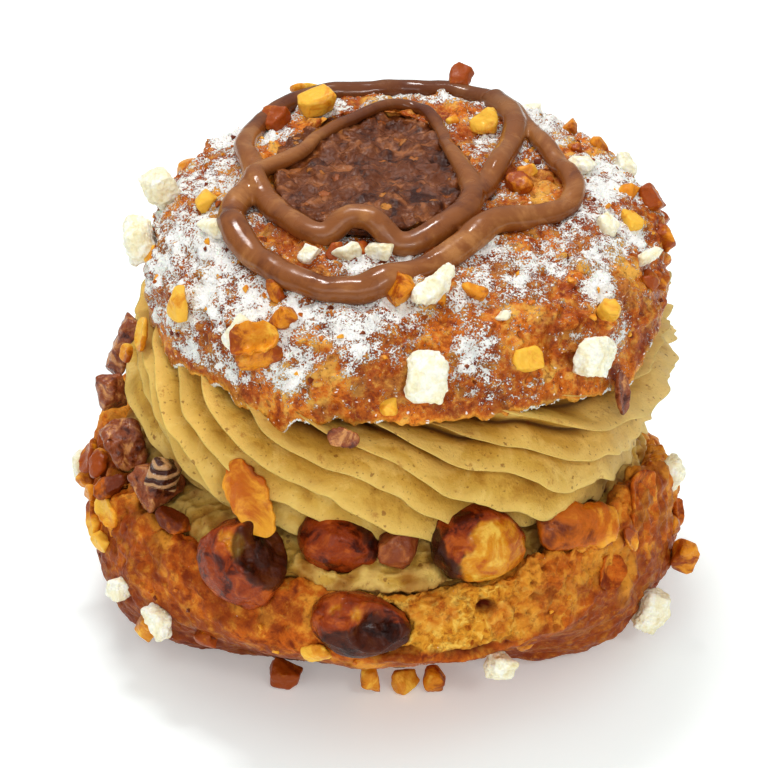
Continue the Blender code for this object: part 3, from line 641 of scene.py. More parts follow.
def makeSwirlBody():  # the rope without its ridges, each point knowing its ridge and which way is out and down
    low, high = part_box("praline_cream")
    centre = Vector(((low.x + high.x) / 2, (low.y + high.y) / 2, 42.3 * mm))
    turns = swirlColumns()
    perRidge = len(swirl["rows"])
    ridgeAt = np.concatenate([np.array(swirl["rows"]) + k for k in range(swirl["ridges"])])
    turn, ridge = np.meshgrid(turns, ridgeAt, indexing="ij")
    phase = ridge + swirlTwist(turn)
    section = 2 * np.pi * phase / swirl["ridges"]
    squareness = np.where(np.sin(section) > 0, swirl["upperSquareness"], swirl["lowerSquareness"])
    angle = np.radians(turn)
    uneven = 1 + 0.035 * np.sin(2 * angle + 1) + 0.02 * np.sin(5 * angle)
    uneven -= swirl["narrow"] * np.exp(-(((turn + 190) % 360 - 180) / 34) ** 2)      # narrower at the right
    radius = swirl["ringRadius"] + swirl["halfWidth"] * signedPower(np.cos(section), 2 / squareness) * uneven
    height = centre.z + swirl["halfHeight"] * signedPower(np.sin(section), 2 / squareness)
    outX = np.cos(section) / swirl["halfWidth"]
    outZ = np.sin(section) / swirl["halfHeight"]
    length = np.hypot(outX, outZ)
    outX, outZ = outX / length, outZ / length
    places = np.stack([centre.x + np.cos(angle) * radius, centre.y + np.sin(angle) * radius, height], -1)
    out = np.stack([np.cos(angle) * outX, np.sin(angle) * outX, outZ], -1)
    down = np.stack([np.cos(angle) * outZ, np.sin(angle) * outZ, -outX], -1)
    columns, rows = turn.shape
    numbers = np.arange(columns * rows).reshape(columns, rows)
    faces = []
    shift = 13 * perRidge                      # the whole twist, in rows, where the last column meets the first
    for i in range(columns):
        here_ = numbers[i]
        after = numbers[i + 1] if i < columns - 1 else np.roll(numbers[0], shift)
        faces += np.stack([here_, after, np.roll(after, -1), np.roll(here_, -1)], -1).tolist()
    mesh = bpy.data.meshes.new("praline cream")
    flat = places.reshape(-1, 3)
    mesh.from_pydata(flat.tolist(), [], faces)
    mesh.shade_smooth()
    for name, values in (("out", out), ("down", down)):
        mesh.attributes.new(name, "FLOAT_VECTOR", "POINT").data.foreach_set("vector", values.astype(np.float32).ravel())
    along = angle * swirl["ringRadius"]
    for name, values in (("ridge", ridge), ("along", along), ("tearing", 0.15 + 0.85 * facing(flat, 5, 42))):
        mesh.attributes.new(name, "FLOAT", "POINT").data.foreach_set("value", values.astype(np.float32).ravel())
    return newPiece("creamSwirl", mesh)


def makeRidgeTree():  # raises the ridges on the rope and lets their lips hang
    tree, given, result = newGroup(
        "piped ridges",
        [("Geometry", "NodeSocketGeometry", None), ("Depth", "NodeSocketFloat", 0.003),
         ("Groove", "NodeSocketFloat", 0.8), ("Droop", "NodeSocketFloat", 0.001),
         ("Wander", "NodeSocketFloat", 0.0008), ("Furrow", "NodeSocketFloat", 0.0002),
         ("Tear", "NodeSocketFloat", 0.001), ("Flare", "NodeSocketFloat", 0.5),
         ("Uneven", "NodeSocketFloat", 0.5),
         ("Material", "NodeSocketMaterial", None)],
        [("Geometry", "NodeSocketGeometry")], "GeometryNodeTree")

    def read(name, sort="FLOAT"):
        return put(tree, "GeometryNodeInputNamedAttribute", {0: name}, data_type=sort).outputs[0]

    def scaled(vector, factor):
        return put(tree, "ShaderNodeVectorMath", {0: vector, "Scale": factor}, operation="SCALE").outputs[0]

    def wavy(vector, size, detail=2.0):  # noise with its middle at 0
        made = fineNoise(tree, vector, size, detail)
        return calc(tree, "SUBTRACT", made, 0.5)

    place = put(tree, "GeometryNodeInputPosition").outputs[0]
    ridge, along, tearing = read("ridge"), read("along"), read("tearing")
    out, down = read("out", "FLOAT_VECTOR"), read("down", "FLOAT_VECTOR")
    across = calc(tree, "FRACT", ridge)                     # 0 at a lip, up the slope behind it, to 1 at the next
    slope = calc(tree, "DIVIDE", across, given["Groove"], clamp=True)
    back = calc(tree, "SUBTRACT", 1.0, slope)
    hollow = calc(tree, "MULTIPLY", calc(tree, "POWER", back, 1.6), 0.6)
    even = calc(tree, "MULTIPLY", ramp(tree, slope, 0.0, 1.0, 1.0, 0.0), 0.4)
    under = calc(tree, "DIVIDE", calc(tree, "SUBTRACT", across, given["Groove"]),
                 calc(tree, "SUBTRACT", 1.0, given["Groove"]), clamp=True)
    crest = calc(tree, "ADD", calc(tree, "ADD", hollow, even), calc(tree, "POWER", under, 1.3))
    strength = calc(tree, "ADD", 0.95, calc(tree, "MULTIPLY", wavy(place, 13 * mm), 1.9))
    depth = calc(tree, "MULTIPLY", given["Depth"], strength)
    streaks = put(tree, "ShaderNodeCombineXYZ", {0: calc(tree, "MULTIPLY", ridge, 7.0 * mm), 1: along, 2: 0.0})
    stretched = put(tree, "ShaderNodeVectorMath", {0: streaks.outputs[0], 1: (1.0, 0.07, 1.0)}, operation="MULTIPLY")
    furrow = calc(tree, "MULTIPLY", wavy(stretched.outputs[0], 1.1 * mm, 3.0), given["Furrow"])
    sharp = calc(tree, "POWER", calc(tree, "MAXIMUM", crest, 0.0), 3.0)
    tear = calc(tree, "MULTIPLY", calc(tree, "MULTIPLY", wavy(place, 5 * mm, 1.0), given["Tear"]), tearing)
    tear = calc(tree, "MULTIPLY", tear, calc(tree, "MULTIPLY", sharp, 3.0))
    flared = calc(tree, "ADD", 1.0, calc(tree, "MULTIPLY", given["Flare"], tearing))
    depth = calc(tree, "MULTIPLY", depth, flared)
    number = calc(tree, "FLOOR", calc(tree, "ADD", ridge, calc(tree, "SUBTRACT", 1.0, given["Groove"])))
    chance = put(tree, "ShaderNodeTexWhiteNoise", {"W": number}, noise_dimensions="1D").outputs[0]
    own = calc(tree, "ADD", 1.0, calc(tree, "MULTIPLY", calc(tree, "SUBTRACT", chance, 0.5), given["Uneven"]))
    rise = calc(tree, "MULTIPLY", depth, calc(tree, "SUBTRACT", calc(tree, "MULTIPLY", crest, own), 0.58))
    rise = calc(tree, "ADD", calc(tree, "ADD", rise, furrow), tear)
    lean = calc(tree, "MULTIPLY", given["Droop"], calc(tree, "POWER", calc(tree, "MAXIMUM", crest, 0.0), 1.5))
    lean = calc(tree, "MULTIPLY", lean, calc(tree, "SUBTRACT", 1.0, calc(tree, "MULTIPLY", tearing, 0.8)))
    lean = calc(tree, "ADD", lean, calc(tree, "MULTIPLY", wavy(place, 10 * mm, 1.0), given["Wander"]))
    offset = put(tree, "ShaderNodeVectorMath", {0: scaled(out, rise), 1: scaled(down, lean)}, operation="ADD")
    moved = put(tree, "GeometryNodeSetPosition", {"Geometry": given["Geometry"], "Offset": offset.outputs[0]})
    kept = put(tree, "GeometryNodeStoreNamedAttribute",
               {"Geometry": moved.outputs[0], "Name": "crest", "Value": crest}, data_type="FLOAT", domain="POINT")
    real = put(tree, "GeometryNodeRealizeInstances", {0: kept.outputs[0]})
    done = put(tree, "GeometryNodeSetMaterial", {"Geometry": real.outputs[0], "Material": given["Material"]})
    tree.links.new(done.outputs[0], result[0])
    return tree


def applyTree(piece, tree, values):
    modifier = piece.modifiers.new(tree.name, "NODES")
    modifier.node_group = tree
    for item in tree.interface.items_tree:
        if item.in_out == "INPUT" and item.name in values:
            modifier[item.identifier] = values[item.name]
    return bake(piece)


def makeSwirl():
    piece = makeSwirlBody()
    values = {title.title(): swirl[title] for title in ("depth", "groove", "droop", "wander", "furrow", "tear", "flare",
                                                             "uneven")}
    values["Material"] = creamMaterial
    applyTree(piece, makeRidgeTree(), values)
    work = bmesh.new()
    work.from_mesh(piece.data)
    bmesh.ops.recalc_face_normals(work, faces=work.faces)
    work.to_mesh(piece.data)
    work.free()
    paint(piece.data, "pale", soft(corners(piece.data)[:, 0], 22 * mm, 44 * mm))       # paler towards the right
    for name in ("out", "down", "ridge", "along", "tearing"):
        piece.data.attributes.remove(piece.data.attributes[name])
    print("swirl:", len(piece.data.polygons), "faces")
    return finishPiece(piece, creamMaterial, "praline_cream", "praline_cream")


bed = {"voxel": 0.45 * mm, "lump": 0.8 * mm, "ripple": 0.55 * mm}


def makeBed():  # the cream that spills over the base under the nuts
    piece = fineCopy("cream_bed", "creamBed", bed["voxel"], 6)
    mesh = piece.data
    places = corners(mesh)
    normals = outward(mesh)
    folds = 1 - 2.4 * np.abs(bumps(places * (0.6, 1, 1), 2.4 * mm, 2.9, 3))
    move = bed["lump"] * bumps(places, 4 * mm, 5.1, 2) + bed["ripple"] * folds
    moveTo(mesh, places + normals * move[:, None])
    # the crest mask gives painted shade in the folds and painted highlight on their tops
    paint(mesh, "crest", soft(0.5 * folds + 0.4, -0.2, 1.0))
    paint(mesh, "caramel", soft(bumps(places, 3.5 * mm, 1.7, 3), -0.35, 0.45))
    return finishPiece(piece, creamMaterial, "praline_cream", "cream_bed")


# ---- praline pool and piped chocolate

def makePralineMaterial():
    material, tree, shader = newMaterial("praline", Specular_IOR_Level=0.32)
    place = here(tree)
    body = use(tree, drift, {"Place": place, "Low": rgb(60, 24, 10), "Middle": rgb(108, 56, 24),
                             "High": rgb(158, 98, 54), "Size": 3.6 * mm, "Bias": 0.0})
    bits = use(tree, specks, {"Place": place, "Spacing": 2.3 * mm, "Reach": 0.3, "Share": 0.4})
    bitTone = mixed(tree, bits["Tone"], rgb(150, 74, 24), rgb(220, 150, 62))
    colour = mixed(tree, calc(tree, "MULTIPLY", bits["Mask"], 0.75), body["Colour"], bitTone)
    darks = use(tree, specks, {"Place": place, "Spacing": 1.1 * mm, "Reach": 0.22, "Share": 0.35})
    colour = mixed(tree, calc(tree, "MULTIPLY", darks["Mask"], 0.6), colour, rgb(58, 30, 20))
    rough = ramp(tree, fineNoise(tree, place, 1.2 * mm), 0.35, 0.65, 0.05, 0.2)
    height = calc(tree, "ADD", fineNoise(tree, place, 0.9 * mm, 4.0), calc(tree, "MULTIPLY", bits["Mask"], 0.5))
    wire(tree, shader, colour, rough, height, 0.4 * mm)
    return material


pool = {"voxel": 0.33 * mm, "lump": 0.6 * mm, "grit": 0.6 * mm, "spread": 1.06}


def makePool():
    piece = fineCopy("praline_centre", "pralinePool", pool["voxel"], 5)
    mesh = piece.data
    places = corners(mesh)
    normals = outward(mesh)
    top = soft(normals[:, 2], 0.1, 0.6)
    grit = soft(0.62 - pits(places, 2.4 * mm, 7.5), 0, 0.4) + 0.6 * soft(0.6 - pits(places, 1.2 * mm, 2.5), 0, 0.4)
    move = pool["lump"] * bumps(places, 4 * mm, 4.9, 2) + pool["grit"] * (grit - 0.4)
    places = places + normals * (move * top)[:, None]
    middle = places.mean(0) * (1, 1, 0)
    moveTo(mesh, (places - middle) * (pool["spread"], pool["spread"], 1) + middle)
    return finishPiece(piece, makePralineMaterial(), "praline", "praline_centre")


def makeChocolateMaterial():
    material, tree, shader = newMaterial("milk chocolate", Specular_IOR_Level=0.4, Coat_Weight=0.12,
                                         Coat_Roughness=0.05)
    place = here(tree)
    body = use(tree, drift, {"Place": place, "Low": rgb(108, 54, 18), "Middle": rgb(142, 84, 36),
                             "High": rgb(176, 120, 66), "Size": 11 * mm, "Bias": 0.0})
    # painted shade: the strands darken towards the back
    colour = mixed(tree, calc(tree, "MULTIPLY", mask(tree, "thin"), 0.6), body["Colour"], rgb(84, 36, 14))
    rough = ramp(tree, fineNoise(tree, place, 5 * mm), 0.3, 0.7, 0.1, 0.34)
    wire(tree, shader, colour, rough, fineNoise(tree, place, 1.6 * mm, 2.0), 0.05 * mm)
    return material


piping = {
    "outer": [(6, 33), (-2, 32), (-11, 30), (-18, 22), (-21, 12), (-19, 1), (-22, -7), (-21, -14), (-16, -21),
              (-9, -26), (-1, -26), (8, -21), (16, -13), (25, -8), (28, -2), (26, 6), (22, 17), (17, 27)],
    "inner": [(-19, 1), (-13, 7), (-9, 14), (-3, 21), (4, 24), (8, 18), (10, 8), (13, -4), (10, -12), (3, -17),
              (-4, -14), (-10, -15), (-16, -7)],
    "link": [(17, 27), (20, 17), (17, 4), (13, -5)],
    "radii": {"outer": (2.1, 1.65), "inner": (1.95, 1.1), "link": (1.85, 1.9)},  # at the front and at the back
    "steps": 8,
    "sides": 20,
    "flatness": 0.88,
    "lift": 1.0 * mm,
    "swell": [((-1, -26), 3.0, 0.14), ((4.5, -24), 2.0, -0.12), ((-21, -14), 3.5, 0.1), ((12, -16), 3, 0.1),
              ((26, -7), 8, -0.16), ((27, 6), 8, -0.1)],
    "voxel": 0.26 * mm,
}


def smoothLine(points, closed, steps):  # a smooth line through given points
    count = len(points)
    line = []
    for i in range(count if closed else count - 1):
        if closed:
            before, start, end, after = (points[(i + k) % count] for k in (-1, 0, 1, 2))
        else:
            before, start, end, after = (points[min(max(i + k, 0), count - 1)] for k in (-1, 0, 1, 2))
        slope = end - before
        bend = 2 * before - 5 * start + 4 * end - after
        curl = 3 * start - before - 3 * end + after
        line += [start + 0.5 * (slope * t + bend * t ** 2 + curl * t ** 3) for t in (k / steps for k in range(steps))]
    return line if closed else line + [points[-1]]


def strandCurve(name, trees, laid):  # a piped strand's own line, lying on what is under it
    closed = name != "link"
    front, back = piping["radii"][name]
    line = smoothLine([Vector((x * mm, y * mm, 0)) for x, y in piping[name]], closed, piping["steps"])
    curve = bpy.data.curves.new(name, "CURVE")
    curve.dimensions = "3D"
    spline = curve.splines.new("POLY")
    spline.points.add(len(line) - 1)
    spline.use_cyclic_u = closed
    heights = []
    for point in line:
        hit, _ = hitFrom(trees, (point.x, point.y, 0.1), (0, 0, -1))
        over, _ = hitFrom(laid, (point.x, point.y, 0.1), (0, 0, -1))
        heights.append(hit.z + (0.55 * (over.z - hit.z) if over else 0))     # it sinks into what is already there
    for _ in range(3):                       # the strand bridges small dips
        heights = [(heights[i - 1] + 2 * h + heights[(i + 1) % len(heights)]) / 4 if closed or 0 < i < len(line) - 1
                   else h for i, h in enumerate(heights)]
    for target, point, height in zip(spline.points, line, heights):
        share = min(max((point.y + 8 * mm) / (22 * mm), 0), 1)
        share = share * share * (3 - 2 * share)
        radius = (front + (back - front) * share) * mm
        radius *= 1 + 0.1 * noise.noise(point / (9 * mm) + Vector((9.9, 30.7, 76.2)))
        radius *= 1 + 0.06 * noise.noise(point / (3.5 * mm))
        for (x, y), reach, share_ in piping["swell"]:      # where the strand was laid on itself or stretched
            away = math.hypot(point.x - x * mm, point.y - y * mm) / (reach * mm)
            radius *= 1 + share_ * math.exp(-away * away)
        target.co = (point.x, point.y, height + piping["lift"] * radius / (front * mm), 1)
        target.radius = radius
    return curve


def makeStrandTree():  # a round strand along its line, a little flattened, with faint marks of the nozzle
    tree, given, result = newGroup(
        "piped strand",
        [("Geometry", "NodeSocketGeometry", None), ("Sides", "NodeSocketInt", 20),
         ("Flatness", "NodeSocketFloat", 0.9), ("Mark", "NodeSocketFloat", 0.0001),
         ("Material", "NodeSocketMaterial", None)],
        [("Geometry", "NodeSocketGeometry")], "GeometryNodeTree")
    ring = put(tree, "GeometryNodeCurvePrimitiveCircle", {"Resolution": given["Sides"], "Radius": 1.0})
    flat = put(tree, "ShaderNodeCombineXYZ", {0: 1.0, 1: given["Flatness"], 2: 1.0})
    ring = put(tree, "GeometryNodeTransform", {"Geometry": ring.outputs[0], "Scale": flat.outputs[0]})
    upright = put(tree, "GeometryNodeSetCurveNormal", {"Curve": given["Geometry"]}, mode="Z_UP") \
        if hasattr(bpy.types.GeometryNodeSetCurveNormal, "mode") else \
        put(tree, "GeometryNodeSetCurveNormal", {"Curve": given["Geometry"]})
    inputs = {"Curve": upright.outputs[0], "Profile Curve": ring.outputs[0], "Fill Caps": True}
    tube = put(tree, "GeometryNodeCurveToMesh", inputs)
    if "Scale" in tube.inputs:
        size = put(tree, "GeometryNodeInputRadius")
        tree.links.new(size.outputs[0], tube.inputs["Scale"])
    place = put(tree, "GeometryNodeInputPosition").outputs[0]
    normal = put(tree, "GeometryNodeInputNormal").outputs[0]
    wave = fineNoise(tree, place, 3 * mm, 2.0)
    amount = calc(tree, "MULTIPLY", calc(tree, "SUBTRACT", wave, 0.5), given["Mark"])
    push = put(tree, "ShaderNodeVectorMath", {0: normal, "Scale": amount}, operation="SCALE")
    moved = put(tree, "GeometryNodeSetPosition", {"Geometry": tube.outputs[0], "Offset": push.outputs[0]})
    real = put(tree, "GeometryNodeRealizeInstances", {0: moved.outputs[0]})
    done = put(tree, "GeometryNodeSetMaterial", {"Geometry": real.outputs[0], "Material": given["Material"]})
    tree.links.new(done.outputs[0], result[0])
    return tree


def makePiping(lidPiece, poolPiece):
    trees = surfaceOf(lidPiece, poolPiece)
    tree = makeStrandTree()
    strands = []
    laid = []
    for name in ("outer", "inner", "link"):
        strand = newPiece(name + "Strand", strandCurve(name, trees, laid if name == "inner" else []))
        modifier = strand.modifiers.new(tree.name, "NODES")
        modifier.node_group = tree
        values = {"Sides": piping["sides"], "Flatness": piping["flatness"], "Mark": 0.35 * mm}
        for item in tree.interface.items_tree:
            if item.in_out == "INPUT" and item.name in values:
                modifier[item.identifier] = values[item.name]
        bpy.context.view_layer.update()
        graph = bpy.context.evaluated_depsgraph_get()
        mesh = bpy.data.meshes.new_from_object(strand.evaluated_get(graph), depsgraph=graph)
        strands.append(mesh)
        work = bmesh.new()
        work.from_mesh(mesh)
        laid.append(BVHTree.FromBMesh(work))
        work.free()
        bpy.data.objects.remove(strand)
    work = bmesh.new()
    for mesh in strands:
        work.from_mesh(mesh)
    bmesh.ops.recalc_face_normals(work, faces=work.faces)
    joined = bpy.data.meshes.new("chocolate piping")
    work.to_mesh(joined)
    work.free()
    piece = skinned(newPiece("chocolatePiping", joined), piping["voxel"], 4)
    paint(piece.data, "thin", soft(corners(piece.data)[:, 1], 6 * mm, 30 * mm))      # painted shade: darker towards the back
    return finishPiece(piece, makeChocolateMaterial(), "milk_chocolate", "chocolate_piping")


# ---- whole hazelnuts

def makeHazelnutMaterial():
    material, tree, shader = newMaterial("caramelised hazelnut", Specular_IOR_Level=0.18, Coat_Weight=0.08,
                                         Coat_Roughness=0.08)
    place = here(tree)
    flesh = use(tree, drift, {"Place": place, "Low": rgb(180, 90, 12), "Middle": rgb(210, 138, 26),
                              "High": rgb(234, 188, 80), "Size": 4 * mm, "Bias": 0.0})
    skin = use(tree, drift, {"Place": place, "Low": rgb(78, 22, 5), "Middle": rgb(146, 58, 14),
                             "High": rgb(184, 92, 30), "Size": 3 * mm, "Bias": 0.0})
    colour = mixed(tree, mask(tree, "skin"), flesh["Colour"], skin["Colour"])
    # burnt patches, and painted shade in the hollows
    colour = mixed(tree, mask(tree, "burnt"), colour, rgb(30, 14, 9))
    rough = ramp(tree, fineNoise(tree, place, 1.5 * mm), 0.3, 0.7, 0.18, 0.42)
    wire(tree, shader, colour, rough, fineNoise(tree, place, 0.8 * mm, 4.0), 0.22 * mm)
    return material


hazelnuts = {  # where the golden flesh shows through the skin and where it is burnt, with the share of each; its hollow, which is painted near-black as shade
    "hazelnut_right": {"flesh": (0.6, -0.8, -0.05), "fleshShare": 0.27, "burnt": (-0.9, -0.4, -0.2),
                       "burntShare": 0.1, "hollow": None, "wrinkle": 0.16},
    "hazelnut_left": {"flesh": (-0.2, -0.5, 0.85), "fleshShare": 0.0, "burnt": (0.75, -0.35, 0.6),
                      "burntShare": 0.22, "hollow": (0.66, -0.5, 0.6), "wrinkle": 0.08},
    "hazelnut_middle": {"flesh": (0.0, 0.8, 0.6), "fleshShare": 0.04, "burnt": (0.9, 0.2, 0.5),
                        "burntShare": 0.14, "hollow": None, "wrinkle": 0.14},
    "hazelnut_front": {"flesh": (-0.35, -0.5, 0.8), "fleshShare": 0.0, "burnt": (0.1, -0.6, -0.75),
                       "burntShare": 0.45, "hollow": (0.45, -0.8, 0.4), "wrinkle": 0.4},
}


def makeHazelnuts():
    material = makeHazelnutMaterial()
    for number, (node, look) in enumerate(hazelnuts.items()):
        name = "hazelnut" + node.split("_")[1].title()
        piece = fineCopy(node, name, 0.24 * mm, 8)
        mesh = piece.data
        places = corners(mesh)
        normals = outward(mesh)
        middle = places.mean(0)
        rays = places - middle
        axis = np.linalg.svd(rays - rays.mean(0), full_matrices=False)[2][0]   # the kernel's long way
        lengthwise = places - np.outer(rays @ axis, axis) * 0.8
        size = np.abs(rays).max()
        directions = rays / np.linalg.norm(rays, axis=1)[:, None]
        veins = 1 - 2 * np.abs(bumps(lengthwise, 2.6 * mm, number + 1.5, 2))
        move = look["wrinkle"] * mm * veins + 0.3 * mm * bumps(places, 5 * mm, number + 4.2, 2)
        uneven = 0.2 * bumps(places, 2.4 * mm, number + 7.7, 3)

        def cap(direction, share):  # a patch round a direction, with a broken edge
            side = directions @ (np.array(direction) / np.linalg.norm(direction))
            return soft(side + uneven, 1 - 2 * share - 0.07, 1 - 2 * share + 0.07)

        flesh = cap(look["flesh"], look["fleshShare"])
        burnt = cap(look["burnt"], look["burntShare"])
        move *= 1 - 0.7 * flesh
        move += 0.3 * mm * (1 - flesh)
        if look["hollow"]:
            way = np.array(look["hollow"]) / np.linalg.norm(look["hollow"])
            side = directions @ way
            sunk = soft(side + 0.12 * bumps(places, 2.5 * mm, 3.1, 2), 0.72, 0.93)
            move -= 0.25 * size * sunk
            move += 0.4 * mm * np.exp(-((side - 0.72) / 0.08) ** 2)            # the lip of the hollow
            # painted shade: the hollow is painted near-black
            burnt = np.maximum(burnt * 0.9, sunk)
        moveTo(mesh, places + normals * move[:, None])
        paint(mesh, "skin", 1 - flesh)
        paint(mesh, "burnt", 0.85 * burnt)
        finishPiece(piece, material, "hazelnut", node)


# ---- broken chocolate, candied almond and lumps of sugar

def makeDarkMaterial(name, striped):
    material, tree, shader = newMaterial(name, Specular_IOR_Level=0.4)
    place = here(tree)
    body = use(tree, drift, {"Place": place, "Low": rgb(80, 28, 10), "Middle": rgb(146, 76, 40),
                             "High": rgb(212, 150, 90), "Size": 2.4 * mm, "Bias": 0.02})
    grain = put(tree, "ShaderNodeTexWave", {"Vector": place, "Scale": 210.0, "Distortion": 2.5, "Detail": 2.0,
                                           "Detail Scale": 1.2}, wave_type="BANDS", bands_direction="Z").outputs[1]
    rough = ramp(tree, fineNoise(tree, place, 1 * mm), 0.3, 0.7, 0.14, 0.4)
    colour = body["Colour"]
    height = fineNoise(tree, place, 0.9 * mm, 3.0)
    if striped:
        colour = mixed(tree, ramp(tree, grain, 0.35, 0.7), rgb(70, 30, 18), rgb(196, 152, 108))
        height = calc(tree, "ADD", height, calc(tree, "MULTIPLY", grain, 1.2))
    wire(tree, shader, colour, rough, height, 0.35 * mm)
    return material


def makeAlmondMaterial(name, size, low, middle, high):
    material, tree, shader = newMaterial(name, Specular_IOR_Level=0.25, Coat_Weight=0.05, Coat_Roughness=0.12,
                                         Subsurface_Weight=0.15, Subsurface_Scale=1.0 * mm)
    shader.inputs["Subsurface Radius"].default_value = (1.0, 0.5, 0.15)
    place = here(tree)
    body = use(tree, drift, {"Place": place, "Low": low, "Middle": middle, "High": high, "Size": size,
                             "Bias": calc(tree, "MULTIPLY", calc(tree, "SUBTRACT", mask(tree, "tone"), 0.5), 0.46)})
    rough = ramp(tree, fineNoise(tree, place, 1.5 * mm), 0.3, 0.7, 0.25, 0.5)
    wire(tree, shader, body["Colour"], rough, fineNoise(tree, place, 0.8 * mm, 4.0), 0.2 * mm)
    return material


def makeSugarMaterial():
    material, tree, shader = newMaterial("pearl sugar", Specular_IOR_Level=0.35, Subsurface_Weight=0.4,
                                         Subsurface_Scale=1.5 * mm)
    shader.inputs["Subsurface Radius"].default_value = (1.0, 0.9, 0.65)
    place = here(tree)
    body = use(tree, drift, {"Place": place, "Low": rgb(234, 220, 176), "Middle": rgb(246, 238, 208),
                             "High": rgb(253, 250, 234), "Size": 2.2 * mm, "Bias": 0.04})
    crystals = put(tree, "ShaderNodeTexVoronoi", {"Vector": place, "Scale": 1500.0}).outputs["Distance"]
    rough = ramp(tree, crystals, 0.1, 0.6, 0.35, 0.75)
    height = calc(tree, "ADD", crystals, fineNoise(tree, place, 0.9 * mm, 3.0))
    wire(tree, shader, body["Colour"], rough, height, 0.25 * mm)
    return material


darkMaterial = makeDarkMaterial("dark chocolate", False)
stripedMaterial = makeDarkMaterial("striped chocolate", True)
almondMaterial = makeAlmondMaterial("candied almond", 6 * mm, rgb(112, 44, 6), rgb(196, 104, 14), rgb(236, 168, 50))
nibMaterial = makeAlmondMaterial("roasted nut", 3.4 * mm, rgb(160, 74, 12), rgb(222, 144, 30), rgb(242, 190, 70))
pralineBitMaterial = makeAlmondMaterial("praline bit", 3 * mm, rgb(96, 38, 14), rgb(140, 68, 30), rgb(176, 104, 52))
sugarMaterial = makeSugarMaterial()

broken = {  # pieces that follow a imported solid: material, slot, fineness, roundness, roughness, tone, shift outward
    "praline_piece": (pralineBitMaterial, "dark_chocolate", 0.2, 5, 0.25, 0.5, 0.3),
    "almond_wedge": (almondMaterial, "roasted_nut", 0.2, 4, 0.2, 0.3, 0.3),
    "chocolate_strip": (darkMaterial, "dark_chocolate", 0.2, 4, 0.3, 0.5, 0),
    "chocolate_lump": (darkMaterial, "dark_chocolate", 0.2, 4, 0.3, 0.5, 0),
    "chocolate_chunk_a": (darkMaterial, "dark_chocolate", 0.22, 4, 0.35, 0.5, 0),
    "chocolate_chunk_b": (darkMaterial, "dark_chocolate", 0.22, 4, 0.35, 0.5, 0),
    "chocolate_chunk_c": (stripedMaterial, "dark_chocolate", 0.2, 3, 0.2, 0.5, 0.9),
    "nougat_chip": (almondMaterial, "roasted_nut", 0.2, 3, 0.3, 0.2, 0),
    "nut_side_right": (nibMaterial, "roasted_nut", 0.2, 4, 0.2, 0.4, -0.5),
    "nut_lid_top": (nibMaterial, "roasted_nut", 0.2, 40, 0.12, 0.9, 0.3),
    "nut_lid_left": (nibMaterial, "roasted_nut", 0.2, 6, 0.2, 0.9, 0),
}

sugarShift = {"sugar_base_front": -3.2, "sugar_side_right": -1.2}     # mm, where the crust is drawn in


def makeBroken():
    looks = dict(broken)
    for node in frame["nodes"]:
        if node.startswith("sugar_"):
            looks[node] = (sugarMaterial, "pearl_sugar", 0.2, 4, 0.34, 0.5, sugarShift.get(node, 0))
    for number, (node, look) in enumerate(sorted(looks.items())):
        material, slot, voxel, rounds, rough, tone, shift = look
        words = node.split("_")
        piece = fineCopy(node, words[0] + "".join(word.title() for word in words[1:]), voxel * mm, rounds)
        mesh = piece.data
        places = corners(mesh)
        normals = outward(mesh)
        move = rough * mm * bumps(places, 2.2 * mm, number + 0.5, 2)
        facets = pits(places, 1.5 * mm, number + 3.5)
        move += 0.7 * rough * mm * (facets - 0.45)
        if slot == "pearl_sugar":                                  # pressed grains, knobbly all over
            move += 0.26 * mm * (0.5 - pits(places, 0.9 * mm, number + 6.5)) + 0.13 * mm * bumps(places, 0.5 * mm, 1.5)
        middle = places.mean(0) * (1, 1, 0)
        way = middle / np.linalg.norm(middle)
        moveTo(mesh, places + normals * move[:, None] + way * shift * mm)
        paint(mesh, "tone", np.full(len(places), tone))
        finishPiece(piece, material, slot, node)


# ---- thin flakes: slices of almond, curls of crust and chips of chocolate

